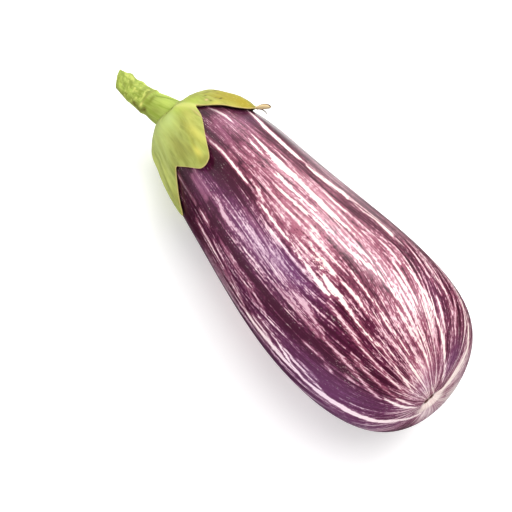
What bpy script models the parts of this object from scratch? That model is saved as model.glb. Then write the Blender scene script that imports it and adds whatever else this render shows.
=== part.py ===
"""A striped eggplant as picked, with its green calyx and its short cut stem, lying on its flank.

Run with: blender --background --python part.py

Units are metres and Z is up. Every piece is first shaped in the fruit's own frame: X runs along the
fruit from the crown, under the calyx, to the blossom end, and angles round the fruit turn from Y
towards Z. An empty then turns the whole into the pose in which it lies, with the origin on the
surface below the middle of its box.
"""
import math

import bmesh
import bpy
import numpy as np
from mathutils import Euler, Vector

MM = 0.001
GAP = 0.3 * MM                          # kept between pieces that touch

# The fruit: a turned body on a bent middle line
FRUIT_LENGTH = 164.8 * MM               # crown to blossom end
FRUIT_RADIUS = 40.54 * MM               # before the swelling below is applied
SWELLING = (-0.28, 0.22, -0.025, 0.02, -0.015)   # shares of one, two and more half waves along it
BOW = 7.57 * MM                         # how far the middle bends to one side
NECK_DROP = 10.63 * MM                  # how far the crown leans to that side as well
NECK_POWER = 6                          # how short the leaning stretch is
BLOSSOM_CROWDING = 0.5                  # rings stand this much closer at the blossom end

# Its low relief
RIB_COUNT = 5
RIB_HEIGHT = 0.35 * MM
RIB_TURN = 1.1                          # turns the ribs round the fruit, in radians
FLUTE_COUNT = 11
FLUTE_DEPTH = 0.35 * MM
FLUTE_TURN = 0.7
FLUTE_TWIST = 2                         # how much more they are turned at the blossom end
FLUTES_AT = 0.2                         # share of the length where the flutes are deepest
FLUTES_SPREAD = 0.13
SCAR_DOWN = 2.972                       # angle from the crown at which the blossom scar's middle lies
SCAR_ROUND = math.radians(118.5)
SCAR_RADIUS = 6.0 * MM
SCAR_DEPTH = 0.7 * MM
SCAR_RIM = 0.3 * MM
SCAR_RIM_WIDTH = 1.6 * MM
CROWN_DENT = (0.21, math.radians(86), 5.5 * MM, 1.9 * MM)   # down and round it, its radius and depth

# The lying pose
PITCH = math.radians(6.6)               # the blossom end is up by this much
ROLL = math.radians(14)                 # the Y side is up by this much
FLATTENED = 0.45 * MM                   # how far its weight presses the flank flat

# The calyx: angles round the fruit in degrees, lengths from the crown along the skin
LOBES = (
    # A lobe's rim from the notch before it, its tip, its rim on towards the next notch, in degrees and
    # mm, then how high it arches and its tip lifts, in mm
    (((-24, 29), (-12, 33), (2, 36.5), (14, 39.5)), (24, 41.2),
     ((33, 41), (44, 38.4), (58, 33.6), (68, 28.8)), 1.4, 0.9),
    (((72, 26.5), (74.5, 32), (85.5, 41.4), (91, 47.4), (96, 53.2), (101, 54.6)), (104, 54.6),
     ((107, 54.2), (110, 52.4), (116, 48.2)), 0.5, 1.7),
    (((126, 42.2), (131, 44.9), (144, 50), (151, 54.6)), (156, 57),
     ((161, 54), (172, 45.5), (182, 38.8)), 0.1, 0.1),
    (((190, 36), (199, 39), (211, 44.4)), (220, 46),
     ((229, 44.6), (240, 38.5), (251, 32)), 0.1, 0.1),
    (((258, 30), (268, 33.5), (283, 41.5)), (295, 44),
     ((305, 42.4), (320, 35.5), (330, 30.5)), 0.3, 0.3),
)
LOBE_BLUNTNESS = 1.35                   # a higher power makes the lobes more pointed
LIFT_STARTS = 17 * MM
CROWN_FLESH = 2.5 * MM                  # thickness of the calyx round the stem
LOBE_FLESH = 1.0 * MM                   # and in its lobes
FLESH_THINS = (19 * MM, 31 * MM)        # from and to this far from the crown
DIPS = (                                # where it dips beside the stem: angle and length, depth, then
    (50, 12, 2.6, 50, 6.5),             # how wide and how long the dip is
    (88, 12, 1.5, 20, 6.0),
    (143, 17, 0.4, 18, 6.0),
)
RIDGE_HEIGHT = 0.55 * MM                # a soft ridge from the stem to the notch after the first lobe
RIDGE_WIDTH = math.radians(4.5)
RIDGE_LINE = ((18 * MM, 29 * MM), (math.radians(87), math.radians(71)))
RIDGE_SPAN = (15 * MM, 20 * MM, 27 * MM, 31 * MM)
LIFT_PEAK = 1.5                         # a higher power moves the top of the arch towards the tip
RIM_ROUNDING = 0.35                     # a lower power makes the rim blunter
CROWN_GAP = 0.15 * MM                   # further gap over the crown, where its mesh is coarser
CROWN_CIRCLES = 36 * MM                 # rings of the mesh are circles near the stem, and follow the
CIRCLES_END = (0.3, 0.9)                # outline by this share of the way to it
CURL_LENGTH = 4.5 * MM                  # the dried tip of the first lobe
CURL_WIDTH = math.radians(2.6)
CURL_LIFT = 4.2 * MM

# The stem: its middle line in the fruit's frame, and its girth along it
SEAT = (-2.1 * MM, -11.8 * MM, 0.5 * MM)
SEAT_TURN = math.radians(7)             # which way the lower half of the seat faces
SEAT_LEAN = math.radians(23)
SEAT_RADIUS = 7.4 * MM
SEAT_SHOULDER = 3.2 * MM
STEM_JOINT = (-12.6 * MM, -14.7 * MM, 2.35 * MM)
STEM_TIP = (-26.2 * MM, -18.3 * MM, 5.5 * MM)
STEM_RADII = (6.8 * MM, 5.3 * MM, 4.8 * MM, 3.6 * MM)   # at its foot, its joint, past it and at its tip
JOINT_AT = 0.43                         # share of its length where the ring round it lies
JOINT_HEIGHT = 0.35 * MM
JOINT_WIDTH = 0.035
JOINT_WAIST = (0.33, 0.08)              # middle and width of the slight waist before the ring
PAST_JOINT = 0.7                        # share of the length at which the third girth applies
STEM_FLUTES = 5
STEM_FLUTE_DEPTH = 0.2 * MM
STEM_LUMP = 0.2 * MM
KNOTS = (                               # share along it, angle round it, height in mm, and spreads
    (0.80, 8, 0.9, 0.055, 0.7),
    (0.62, 0, 0.5, 0.05, 0.6),
    (0.46, 200, 0.25, 0.03, 0.35),
    (0.93, 30, 0.3, 0.04, 0.5),
)
FOOT_SHARE = 0.3                        # its rings turn from the seat's way to its own over this share
CUT_SLANT = math.radians(29)            # how far the cut end is off square
CUT_FROM = 0.55                         # share of the length from which its rings begin to slant

FRUIT_RINGS = 42
FRUIT_AROUND = 64
CALYX_RINGS = 30
CALYX_AROUND = 120
STEM_RINGS = 30
STEM_AROUND = 28
CAP_SHARE = 0.1                         # share of a capped piece's rings that make up each flat end


def ease(start, stop, value):
    """Rises smoothly from 0 at start to 1 at stop."""
    share = np.clip((value - start) / (stop - start), 0, 1)
    return share * share * (3 - 2 * share)


def bump(middle, width, value):
    """A bell of height 1 at the middle."""
    return np.exp(-((value - middle) / width) ** 2)


def turned(angle):
    """The same angle between half a turn back and half a turn on."""
    return (angle + np.pi) % (2 * np.pi) - np.pi


def smooth_fruit(down, around):
    """The fruit without its relief: down runs from 0 at the crown to pi at the blossom end."""
    share = (1 - np.cos(down)) / 2
    waves = sum(part * np.cos((count + 1) * down) for count, part in enumerate(SWELLING))
    radius = FRUIT_RADIUS * np.sin(down) * (1 + waves)
    side = -BOW * 4 * share * (1 - share) - NECK_DROP * (1 - share) ** NECK_POWER
    slope = -BOW * 4 * (1 - 2 * share) + NECK_DROP * NECK_POWER * (1 - share) ** (NECK_POWER - 1)
    slope = slope / FRUIT_LENGTH
    square = np.hypot(1, slope)
    x = FRUIT_LENGTH * share - radius * np.cos(around) * slope / square
    y = side + radius * np.cos(around) / square
    z = radius * np.sin(around)
    return np.stack([x, y, z], axis=-1)


def outward(down, around):
    """Which way the smooth fruit's skin faces."""
    step = 1e-4
    down = np.clip(down, step * 2, np.pi - step * 2)
    across = smooth_fruit(down, around + step) - smooth_fruit(down, around - step)
    along = smooth_fruit(down + step, around) - smooth_fruit(down - step, around)
    normal = np.cross(across, along)
    return normal / np.linalg.norm(normal, axis=-1, keepdims=True)


def fruit_skin(down, around):
    """The fruit with five broad ribs, flutes below the calyx, the blossom's scar and a dent by the stem."""
    share = (1 - np.cos(down)) / 2
    ribs = RIB_HEIGHT * np.cos(RIB_COUNT * around + RIB_TURN) * np.sin(down) ** 2
    flutes = FLUTE_DEPTH * np.cos(FLUTE_COUNT * around + FLUTE_TURN + FLUTE_TWIST * share)
    flutes = flutes * bump(FLUTES_AT, FLUTES_SPREAD, share)
    skin = smooth_fruit(down, around)
    scar = smooth_fruit(np.array(SCAR_DOWN), np.array(SCAR_ROUND))
    away = np.linalg.norm(skin - scar, axis=-1)
    dimple = SCAR_RIM * bump(SCAR_RADIUS, SCAR_RIM_WIDTH, away) - SCAR_DEPTH * bump(0, SCAR_RADIUS, away)
    at, round_at, dent_radius, dent_depth = CROWN_DENT
    away = np.linalg.norm(skin - smooth_fruit(np.array(at), np.array(round_at)), axis=-1)
    dimple = dimple - dent_depth * bump(0, dent_radius, away)
    return skin + outward(down, around) * (ribs + flutes + dimple)[..., None]


def down_at(length):
    """The angle down the fruit at a length along its skin from the crown."""
    angles = np.linspace(0, np.pi, 800)
    line = smooth_fruit(angles, np.full_like(angles, np.pi / 2))
    lengths = np.concatenate([[0], np.cumsum(np.linalg.norm(np.diff(line, axis=0), axis=1))])
    return np.interp(length, lengths, angles)


def lobe_offset(around, index):
    """How far an angle is from a lobe's tip, as a share of the way to the notch on that side."""
    notch, tip = LOBES[index][0][0][0], LOBES[index][1][0]
    next_notch = LOBES[(index + 1) % len(LOBES)][0][0][0]
    off = turned(around - math.radians(tip))
    before = turned(math.radians(notch - tip))
    after = turned(math.radians(next_notch - tip))
    return np.where(off < 0, off / before, off / after)


def lobe_share(offset):
    """How far into a lobe an angle is: 1 along its middle, 0 at its notches and beyond."""
    return np.cos(np.clip(offset, 0, 1) * np.pi / 2) ** LOBE_BLUNTNESS


def calyx_curl(around):
    """How near an angle is to the dried tip of the first lobe."""
    return bump(0, CURL_WIDTH, turned(around - math.radians(LOBES[0][1][0])))


def calyx_reach(around):
    """How far the calyx reaches down the fruit at an angle round it, straight from corner to corner."""
    rim = [corner for rise, tip, fall, _, _ in LOBES for corner in (*rise, tip, *fall)]
    angles, reaches = np.array(rim, dtype=float).T
    return np.interp(np.degrees(around), angles, reaches, period=360) * MM + CURL_LENGTH * calyx_curl(around)


def calyx_lift(around, length):
    """How far the calyx's lobes arch off the fruit."""
    lift = np.zeros_like(around)
    for index, (_, tip, _, arch, tip_lift) in enumerate(LOBES):
        along = np.clip((length - LIFT_STARTS) / (tip[1] * MM - LIFT_STARTS), 0, 1)
        hump = arch * np.sin(np.pi * along ** LIFT_PEAK) ** 2 + tip_lift * along ** 2
        lift = lift + hump * MM * lobe_share(lobe_offset(around, index))
    past = ease(0, CURL_LENGTH, length - LOBES[0][1][1] * MM)
    return lift + CURL_LIFT * calyx_curl(around) * past


def calyx_relief(around, length):
    """The dips beside the stem, and a ridge from it to a notch."""
    dips = sum(depth * MM * bump(0, math.radians(wide), turned(around - math.radians(at)))
               * bump(far * MM, long * MM, length) for at, far, depth, wide, long in DIPS)
    ridge = bump(0, RIDGE_WIDTH, turned(around - np.interp(length, *RIDGE_LINE)))
    ridge = ridge * ease(*RIDGE_SPAN[:2], length) * (1 - ease(*RIDGE_SPAN[2:], length))
    return RIDGE_HEIGHT * ridge - dips


def calyx_skins(fold, around):
    """The calyx's outer skin for fold from 0 to a quarter turn, its rim, and its inner skin back to pi."""
    share = np.sin(fold)
    reach = CROWN_CIRCLES + (calyx_reach(around) - CROWN_CIRCLES) * ease(*CIRCLES_END, share)
    length = share * reach
    down = down_at(length)
    outer = fold <= np.pi / 2
    flesh = LOBE_FLESH + (CROWN_FLESH - LOBE_FLESH) * (1 - ease(*FLESH_THINS, length))
    half = np.where(outer, 0.5, -0.5) * np.abs(np.cos(fold)) ** RIM_ROUNDING
    height = GAP + calyx_lift(around, length) + flesh * (0.5 + half)
    height = height + np.where(outer, calyx_relief(around, length), CROWN_GAP * (1 - share))
    place = fruit_skin(down, around) + outward(down, around) * height[..., None]
    seat = np.array(SEAT)
    out = (place - seat) @ stem_starts()
    aside = place - seat - out[..., None] * stem_starts()
    above = out + seat_drop(aside)
    off_axis = np.linalg.norm(aside, axis=-1)
    flat = np.where(outer, 1 - ease(SEAT_RADIUS, SEAT_RADIUS + SEAT_SHOULDER, off_axis), 0)
    return place - (flat * above)[..., None] * stem_starts()


def stem_line(share):
    """The stem's middle line, a curve through the seat, the joint and the tip, and its direction."""
    seat, joint, tip = np.array(SEAT), np.array(STEM_JOINT), np.array(STEM_TIP)
    control = (joint - (1 - JOINT_AT) ** 2 * seat - JOINT_AT ** 2 * tip) / (2 * JOINT_AT * (1 - JOINT_AT))
    share = np.asarray(share)[..., None]
    place = (1 - share) ** 2 * seat + 2 * share * (1 - share) * control + share ** 2 * tip
    way = 2 * (1 - share) * (control - seat) + 2 * share * (tip - control)
    return place, way / np.linalg.norm(way, axis=-1, keepdims=True)


def stem_starts():
    """The way in which the stem leaves the calyx."""
    return stem_line(0.0)[1]


def seat_drop(aside):
    """How far the stem's seat falls away beside its middle: half of it leans, the rest is square."""
    faces = np.array([-math.cos(SEAT_LEAN) * math.cos(SEAT_TURN),
                      -math.cos(SEAT_LEAN) * math.sin(SEAT_TURN), math.sin(SEAT_LEAN)])
    return np.maximum(aside @ faces / (stem_starts() @ faces), 0)


def stem_radius(share, around):
    """The stem's girth: a spreading foot, the ring at its joint, flutes, and a lumpy, knotty outer half."""
    taper = np.interp(share, (0, JOINT_AT, PAST_JOINT, 1), STEM_RADII)
    ring = JOINT_HEIGHT * (bump(JOINT_AT, JOINT_WIDTH, share) - bump(*JOINT_WAIST, share))
    flutes = STEM_FLUTE_DEPTH * np.cos(STEM_FLUTES * around)
    lumps = STEM_LUMP * np.sin(3 * around + 14 * share) * np.cos(2 * around + 17 * share)
    knots = sum(height * MM * bump(at, long, share) * bump(0, wide, turned(around - math.radians(angle)))
                for at, angle, height, long, wide in KNOTS)
    return taper + ring + flutes + lumps * ease(JOINT_AT, PAST_JOINT, share) + knots


def stem_skin(fold, around):
    """The stem as one closed skin: its flat foot, its side, and its slanting cut end."""
    cap = CAP_SHARE * np.pi
    share = np.clip((fold - cap) / (np.pi - 2 * cap), 0, 1)
    fill = np.clip(np.minimum(fold, np.pi - fold) / cap, 0, 1)
    place, way = stem_line(share)
    over = np.cross(np.array([0, 1, 0]), way)
    over = over / np.linalg.norm(over, axis=-1, keepdims=True)
    beside = np.cross(way, over)
    radius = (stem_radius(share, around) * fill)[..., None]
    turn = around[..., None]
    ring = radius * (np.cos(turn) * beside + np.sin(turn) * over)
    slant = math.tan(CUT_SLANT) * ease(CUT_FROM, 1, share)[..., None] * radius * np.cos(turn) * way
    foot = seat_drop(ring) * (1 - ease(0, FOOT_SHARE, share))
    return place + (GAP - foot)[..., None] * stem_starts() + ring + slant


def ball(rings, around):
    """A sphere's mesh, with each vertex's angle from the pole and angle round it."""
    mesh = bmesh.new()
    bmesh.ops.create_uvsphere(mesh, u_segments=around, v_segments=rings, radius=1)
    spots = np.array([vertex.co for vertex in mesh.verts], dtype=float)
    return mesh, np.arccos(np.clip(spots[:, 2], -1, 1)), np.arctan2(spots[:, 1], spots[:, 0])


def make_material(name, colour, roughness):
    """A Principled material in the part's own colour."""
    material = bpy.data.materials.new(name)
    material.use_nodes = True
    shader = material.node_tree.nodes["Principled BSDF"]
    shader.inputs["Base Color"].default_value = (*colour, 1)
    shader.inputs["Roughness"].default_value = roughness
    shader.inputs["Metallic"].default_value = 0
    material.diffuse_color = (*colour, 1)
    return material


def face_outwards(mesh):
    """Turns a closed mesh's faces so that they all point out of it."""
    bmesh.ops.recalc_face_normals(mesh, faces=mesh.faces)
    if mesh.calc_volume(signed=True) < 0:
        bmesh.ops.reverse_faces(mesh, faces=mesh.faces)


def add_piece(name, mesh, places, material, collection, pose):
    """Moves a sphere's vertices to their places and links it as a named piece under the pose."""
    for vertex, place in zip(mesh.verts, places):
        vertex.co = place
    face_outwards(mesh)
    data = bpy.data.meshes.new(name)
    mesh.to_mesh(data)
    mesh.free()
    data.shade_smooth()
    data.materials.append(material)
    piece = bpy.data.objects.new(name, data)
    collection.objects.link(piece)
    piece.parent = pose
    return piece


def press_flat(piece, turn):
    """Cuts the lowest skin away level, where the fruit's weight rests. Returns the level."""
    floor = turn @ Vector((0, 0, 1))
    level = min(vertex.co.dot(floor) for vertex in piece.data.vertices) + FLATTENED
    mesh = bmesh.new()
    mesh.from_mesh(piece.data)
    cut = bmesh.ops.bisect_plane(
        mesh, geom=mesh.verts[:] + mesh.edges[:] + mesh.faces[:],
        plane_co=floor * level, plane_no=floor, clear_inner=True)
    rim = [item for item in cut["geom_cut"] if isinstance(item, bmesh.types.BMEdge)]
    flat = bmesh.ops.contextual_create(mesh, geom=rim)
    for face in flat["faces"]:
        face.smooth = False
    face_outwards(mesh)
    mesh.to_mesh(piece.data)
    mesh.free()
    return level


def main():
    for item in list(bpy.data.objects):
        bpy.data.objects.remove(item)
    collection = bpy.data.collections.new("eggplant")
    bpy.context.scene.collection.children.link(collection)
    pose = bpy.data.objects.new("lying_pose", None)
    collection.objects.link(pose)

    mesh, down, around = ball(FRUIT_RINGS, FRUIT_AROUND)
    down = down + BLOSSOM_CROWDING * np.sin(down)
    skin = make_material("fruit_skin", (0.16, 0.035, 0.1), 0.25)
    fruit = add_piece("fruit", mesh, fruit_skin(down, around), skin, collection, pose)

    mesh, fold, around = ball(CALYX_RINGS, CALYX_AROUND)
    green = make_material("calyx_green", (0.36, 0.44, 0.09), 0.55)
    calyx = add_piece("calyx", mesh, calyx_skins(fold, around), green, collection, pose)

    mesh, fold, around = ball(STEM_RINGS, STEM_AROUND)
    stalk = make_material("stem_green", (0.38, 0.52, 0.08), 0.6)
    stem = add_piece("stem", mesh, stem_skin(fold, around), stalk, collection, pose)

    pose.rotation_euler = Euler((ROLL, -PITCH, 0))
    turn = pose.rotation_euler.to_matrix()
    level = press_flat(fruit, turn.transposed())
    corners = [turn @ vertex.co for piece in (fruit, calyx, stem) for vertex in piece.data.vertices]
    middle_x = (min(spot.x for spot in corners) + max(spot.x for spot in corners)) / 2
    middle_y = (min(spot.y for spot in corners) + max(spot.y for spot in corners)) / 2
    pose.location = (-middle_x, -middle_y, -level)
    bpy.context.view_layer.update()


main()
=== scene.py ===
# A striped eggplant as picked: a glossy streaked fruit, its green calyx with one dried tip, and its cut stem.
import math

import bmesh
import bpy
import numpy as np
from mathutils import Euler, Matrix, Vector


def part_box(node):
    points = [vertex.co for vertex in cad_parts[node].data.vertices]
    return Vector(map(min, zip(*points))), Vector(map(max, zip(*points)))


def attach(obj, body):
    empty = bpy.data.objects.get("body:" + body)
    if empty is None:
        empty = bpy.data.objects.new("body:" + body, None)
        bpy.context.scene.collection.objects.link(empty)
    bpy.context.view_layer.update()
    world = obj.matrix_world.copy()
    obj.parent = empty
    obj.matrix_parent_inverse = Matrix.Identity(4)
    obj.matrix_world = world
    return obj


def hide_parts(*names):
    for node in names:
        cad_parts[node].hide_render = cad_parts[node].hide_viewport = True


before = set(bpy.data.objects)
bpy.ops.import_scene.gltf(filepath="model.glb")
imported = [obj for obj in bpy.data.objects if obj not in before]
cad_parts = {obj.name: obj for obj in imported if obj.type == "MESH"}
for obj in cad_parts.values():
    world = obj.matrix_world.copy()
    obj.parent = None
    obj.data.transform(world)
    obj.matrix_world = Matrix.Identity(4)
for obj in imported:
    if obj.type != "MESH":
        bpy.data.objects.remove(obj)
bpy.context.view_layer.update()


# The fruit: one fleshy body under a thin waxy skin, dark wine and violet with cream streaks where the
# colour never formed. It grew hanging from its crown, so the streaks run from the crown to the corky
# slit of the blossom scar, and its own weight presses its flank flat where it now lies.
MM = 0.001
FRUIT_LENGTH = 164.8 * MM
FRUIT_RADIUS = 40.54 * MM
SWELLING = (-0.28, 0.22, -0.025, 0.02, -0.015)
BOW = 7.57 * MM
NECK_DROP = 10.63 * MM
NECK_POWER = 6
RIB_COUNT = 5
RIB_HEIGHT = 0.35 * MM
RIB_TURN = 1.1
FLUTE_COUNT = 11
FLUTE_DEPTH = 0.35 * MM
FLUTE_TURN = 0.7
FLUTE_TWIST = 2
FLUTES_AT = 0.2
FLUTES_SPREAD = 0.13
SCAR_DOWN = 2.972
SCAR_ROUND = math.radians(118.5)
SCAR_RADIUS = 6.0 * MM
SCAR_DEPTH = 0.7 * MM
SCAR_RIM = 0.3 * MM
SCAR_RIM_WIDTH = 1.6 * MM
# The dent beside the stem: down and round the fruit, radius and depth
CROWN_DENT = (0.21, math.radians(86), 5.5 * MM, 1.9 * MM)
PITCH = math.radians(6.6)
ROLL = math.radians(14)
FRUIT_RINGS = 176
FRUIT_AROUND = 560
RING_CROWDING = 0.55
# The slit in the scar: its middle from the scar's, towards and round the end, its turn, half its length,
# and the two places where it gapes. A crack joins them, with a share of its width, depth and colour.
SLIT_OFF = (1.2 * MM, 1.7 * MM)
SLIT_TURN = math.radians(-32)
SLIT_HALF = 3.4 * MM
SLIT_GAPES = ((-1.35 * MM, 1.15 * MM), (1.3 * MM, 1.15 * MM))
SLIT_WIDTH = 0.85 * MM
SLIT_DEPTH = 0.3 * MM
CRACK_WIDTH = 0.6
CRACK_DEPTH = 0.5
CRACK_ENDS = (0.7, 1.3)
CRACK_PAINT = 0.45
SLIT_PAINT = (0.2, 0.6)
CORK_OFF = 2.0 * MM
CORK_HALF = (8.8 * MM, 3.6 * MM)
CORK_FADES = (0.35, 1.1)
# Where the middle that the streaks run round leaves the fruit's own for the scar
LEAN_FROM = 0.70
LEAN_BY = 0.985


def ease(start, stop, value):
    """Rises smoothly from 0 at start to 1 at stop."""
    share = np.clip((value - start) / (stop - start), 0, 1)
    return share * share * (3 - 2 * share)


def bump(middle, width, value):
    """A bell of height 1 at the middle."""
    return np.exp(-((value - middle) / width) ** 2)


def turned(angle):
    """The same angle between half a turn back and half a turn on."""
    return (angle + np.pi) % (2 * np.pi) - np.pi


def unit(ways):
    """Directions made one long."""
    return ways / np.linalg.norm(ways, axis=-1, keepdims=True)


def girth(down):
    """The radius of the fruit: a half sine from end to end, times one plus five cosine waves."""
    waves = sum(part * np.cos((count + 1) * down) for count, part in enumerate(SWELLING))
    return FRUIT_RADIUS * np.sin(down) * (1 + waves)


def smooth_fruit(down, around):
    """Circles of that radius, square to a middle line that bows to one side and leans at the crown."""
    share = (1 - np.cos(down)) / 2
    radius = girth(down)
    side = -BOW * 4 * share * (1 - share) - NECK_DROP * (1 - share) ** NECK_POWER
    slope = -BOW * 4 * (1 - 2 * share) + NECK_DROP * NECK_POWER * (1 - share) ** (NECK_POWER - 1)
    slope = slope / FRUIT_LENGTH
    square = np.hypot(1, slope)
    x = FRUIT_LENGTH * share - radius * np.cos(around) * slope / square
    y = side + radius * np.cos(around) / square
    z = radius * np.sin(around)
    return np.stack([x, y, z], axis=-1)


def outward(down, around):
    """The cross product of small steps round and along the smooth fruit, made one long."""
    step = 1e-4
    down = np.clip(down, step * 2, np.pi - step * 2)
    across = smooth_fruit(down, around + step) - smooth_fruit(down, around - step)
    along = smooth_fruit(down + step, around) - smooth_fruit(down - step, around)
    return unit(np.cross(across, along))


def fruit_skin(down, around):
    """The smooth fruit raised by five ribs and eleven flutes, both cosines, with round dents at the scar
    and beside the stem."""
    share = (1 - np.cos(down)) / 2
    ribs = RIB_HEIGHT * np.cos(RIB_COUNT * around + RIB_TURN) * np.sin(down) ** 2
    flutes = FLUTE_DEPTH * np.cos(FLUTE_COUNT * around + FLUTE_TURN + FLUTE_TWIST * share)
    flutes = flutes * bump(FLUTES_AT, FLUTES_SPREAD, share)
    skin = smooth_fruit(down, around)
    from_scar = np.linalg.norm(skin - smooth_fruit(np.array(SCAR_DOWN), np.array(SCAR_ROUND)), axis=-1)
    dimple = SCAR_RIM * bump(SCAR_RADIUS, SCAR_RIM_WIDTH, from_scar)
    dimple = dimple - SCAR_DEPTH * bump(0, SCAR_RADIUS, from_scar)
    at, round_at, dent_radius, dent_depth = CROWN_DENT
    from_dent = np.linalg.norm(skin - smooth_fruit(np.array(at), np.array(round_at)), axis=-1)
    dimple = dimple - dent_depth * bump(0, dent_radius, from_dent)
    return skin + outward(down, around) * (ribs + flutes + dimple)[..., None]


SKIN_ANGLES = np.linspace(0, np.pi, 800)
SKIN_LINE = smooth_fruit(SKIN_ANGLES, np.full_like(SKIN_ANGLES, np.pi / 2))
SKIN_LENGTHS = np.concatenate([[0], np.cumsum(np.linalg.norm(np.diff(SKIN_LINE, axis=0), axis=1))])


def down_at(length):
    """The angle down the fruit at a length along its skin from the crown, read off the skin's own line."""
    return np.interp(length, SKIN_LENGTHS, SKIN_ANGLES)


def streak_way(down, around):
    """The direction of the streak through a place. Seen along the fruit, streaks leave a short slit at
    right angles, as the hyperbolas round it do, and the slit moves from the middle to the scar."""
    share = (1 - np.cos(down)) / 2
    lean = ease(LEAN_FROM, LEAN_BY, share)
    middle = (girth(SCAR_DOWN) - SLIT_OFF[0] + 1j * SLIT_OFF[1]) * np.exp(1j * SCAR_ROUND)
    flat = girth(down) * np.exp(1j * around) - lean * middle
    slit_way = np.exp(1j * (SCAR_ROUND + np.pi / 2 + SLIT_TURN))
    flat = flat / slit_way
    slit = SLIT_HALF * lean
    way = (flat + np.sqrt(flat - slit) * np.sqrt(flat + slit)) * slit_way
    return np.angle(way)


LYING = np.array(Euler((ROLL, -PITCH, 0)).to_matrix())


def lying_place():
    """Where the crown lies, so that the turned fruit fills the frame's box of it."""
    down, around = np.meshgrid(np.linspace(0, np.pi, 300), np.linspace(0, 2 * np.pi, 360), indexing="ij")
    spots = (fruit_skin(down, around) @ LYING.T).reshape(-1, 3)
    low, high = (np.array(corner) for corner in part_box("fruit"))
    middle = (low + high - spots.min(axis=0) - spots.max(axis=0)) / 2
    return np.array([middle[0], middle[1], high[2] - spots[:, 2].max()])


LYING_PLACE = lying_place()


def lie_down(places):
    """Turns places from the fruit's own frame into the pose in which it lies."""
    return places @ LYING.T + LYING_PLACE


def ring_grid(steps, around):
    """Every step along a piece with every angle round it, the angles spread evenly."""
    return np.meshgrid(steps, np.arange(around) * 2 * np.pi / around, indexing="ij")


def with_poles(rings):
    """A grid's values as one list, followed by the mean of its first and of its last ring."""
    width = rings.shape[2:]
    return np.concatenate([rings.reshape(-1, *width), rings[:1].mean(axis=1), rings[-1:].mean(axis=1)])


def skin_mesh(name, rings):
    """Quads between closed rings of places, and a fan round the mean of the first and of the last ring."""
    count, around, _ = rings.shape
    here = np.arange(count * around).reshape(count, around)
    beside = np.roll(here, -1, axis=1)
    quads = np.stack([here[:-1], here[1:], beside[1:], beside[:-1]], axis=-1).reshape(-1, 4)
    first = np.stack([np.full(around, count * around), here[0], beside[0]], axis=-1)
    last = np.stack([np.full(around, count * around + 1), beside[-1], here[-1]], axis=-1)
    mesh = bpy.data.meshes.new(name)
    mesh.from_pydata(with_poles(rings), [], quads.tolist() + first.tolist() + last.tolist())
    solid = bmesh.new()
    solid.from_mesh(mesh)
    if solid.calc_volume(signed=True) < 0:
        mesh.flip_normals()
    solid.free()
    mesh.shade_smooth()
    return mesh


def keep(mesh, **stored):
    """Stores a number or a vector for each vertex, by its name, for the material to read."""
    for name, values in stored.items():
        kind, field = ("FLOAT_VECTOR", "vector") if values.ndim == 3 else ("FLOAT", "value")
        store = mesh.attributes.new(name, kind, "POINT")
        store.data.foreach_set(field, with_poles(values).astype(np.float32).ravel())


def round_chart(angle, along):
    """A chart without a seam: the cosine and the sine of the angle, and the place along the piece."""
    return np.stack([np.cos(angle), np.sin(angle), along], axis=-1)


def patches(spots, angle, length):
    """The sum of bells round the spots: each has its angle, length, spread in both, and amount."""
    total = 0
    for at, far, wide, long, amount in spots:
        across = bump(0, math.radians(wide), turned(angle - math.radians(at)))
        total = total + amount * across * bump(far, long, length)
    return total


def spread(tones, angle, length):
    """Each tone's patches, by its name."""
    return {name: patches(spots, angle, length) for name, spots in tones.items()}


def set_up(name, data):
    """An object of the scene that holds a mesh, a light or a camera."""
    thing = bpy.data.objects.new(name, data)
    bpy.context.scene.collection.objects.link(thing)
    return thing


def add_piece(name, mesh, material, node):
    """Adds a finished mesh as a piece of the object that stands for its node."""
    mesh.materials.append(material)
    piece = set_up(name, mesh)
    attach(piece, "root")
    if node:
        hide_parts(node)


def feed(node, inputs):
    """Gives a node's inputs their values, or links them to other nodes' sockets."""
    for name, value in inputs.items():
        if isinstance(value, bpy.types.NodeSocket):
            node.id_data.links.new(value, node.inputs[name])
        else:
            node.inputs[name].default_value = value


def put(tree, kind, inputs=None, **settings):
    """Adds a shader node, sets it, and feeds its inputs."""
    node = tree.nodes.new(kind)
    for name, value in settings.items():
        setattr(node, name, value)
    feed(node, inputs or {})
    return node


def sums(operation, *values):
    """One Math node's result, in the node tree of the sockets among its values."""
    tree = next(value.id_data for value in values if isinstance(value, bpy.types.NodeSocket))
    return put(tree, "ShaderNodeMath", dict(enumerate(values)), operation=operation).outputs[0]


def times(first, second):
    """The product of two numbers."""
    return sums("MULTIPLY", first, second)


def scaled(value, factor, more):
    """A number times a factor, plus more."""
    return sums("MULTIPLY_ADD", value, factor, more)


def between(low, high, value):
    """Rises smoothly from 0 to 1 as the value goes from low to high."""
    feeds = {"Value": value, "From Min": low, "From Max": high}
    return put(value.id_data, "ShaderNodeMapRange", feeds, interpolation_type="SMOOTHSTEP").outputs["Result"]


def colour(red, green, blue):
    """A colour as seen, in steps of 255, as the light it sends back."""
    seen = np.array([red, green, blue]) / 255
    return (*np.where(seen < 0.04045, seen / 12.92, ((seen + 0.055) / 1.055) ** 2.4), 1)


def blend(share, first, second):
    """A colour part of the way from the first to the second, each a socket or given in steps of 255."""
    first, second = (colour(*tone) if isinstance(tone, tuple) else tone for tone in (first, second))
    feeds = {"Factor": share, "A": first, "B": second}
    return put(share.id_data, "ShaderNodeMix", feeds, data_type="RGBA").outputs["Result"]


def masks(tree, *names):
    """Numbers stored on the mesh."""
    return [put(tree, "ShaderNodeAttribute", attribute_name=name).outputs["Fac"] for name in names]


def chart(tree, name):
    """A vector stored on the mesh."""
    return put(tree, "ShaderNodeAttribute", attribute_name=name).outputs["Vector"]


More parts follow.
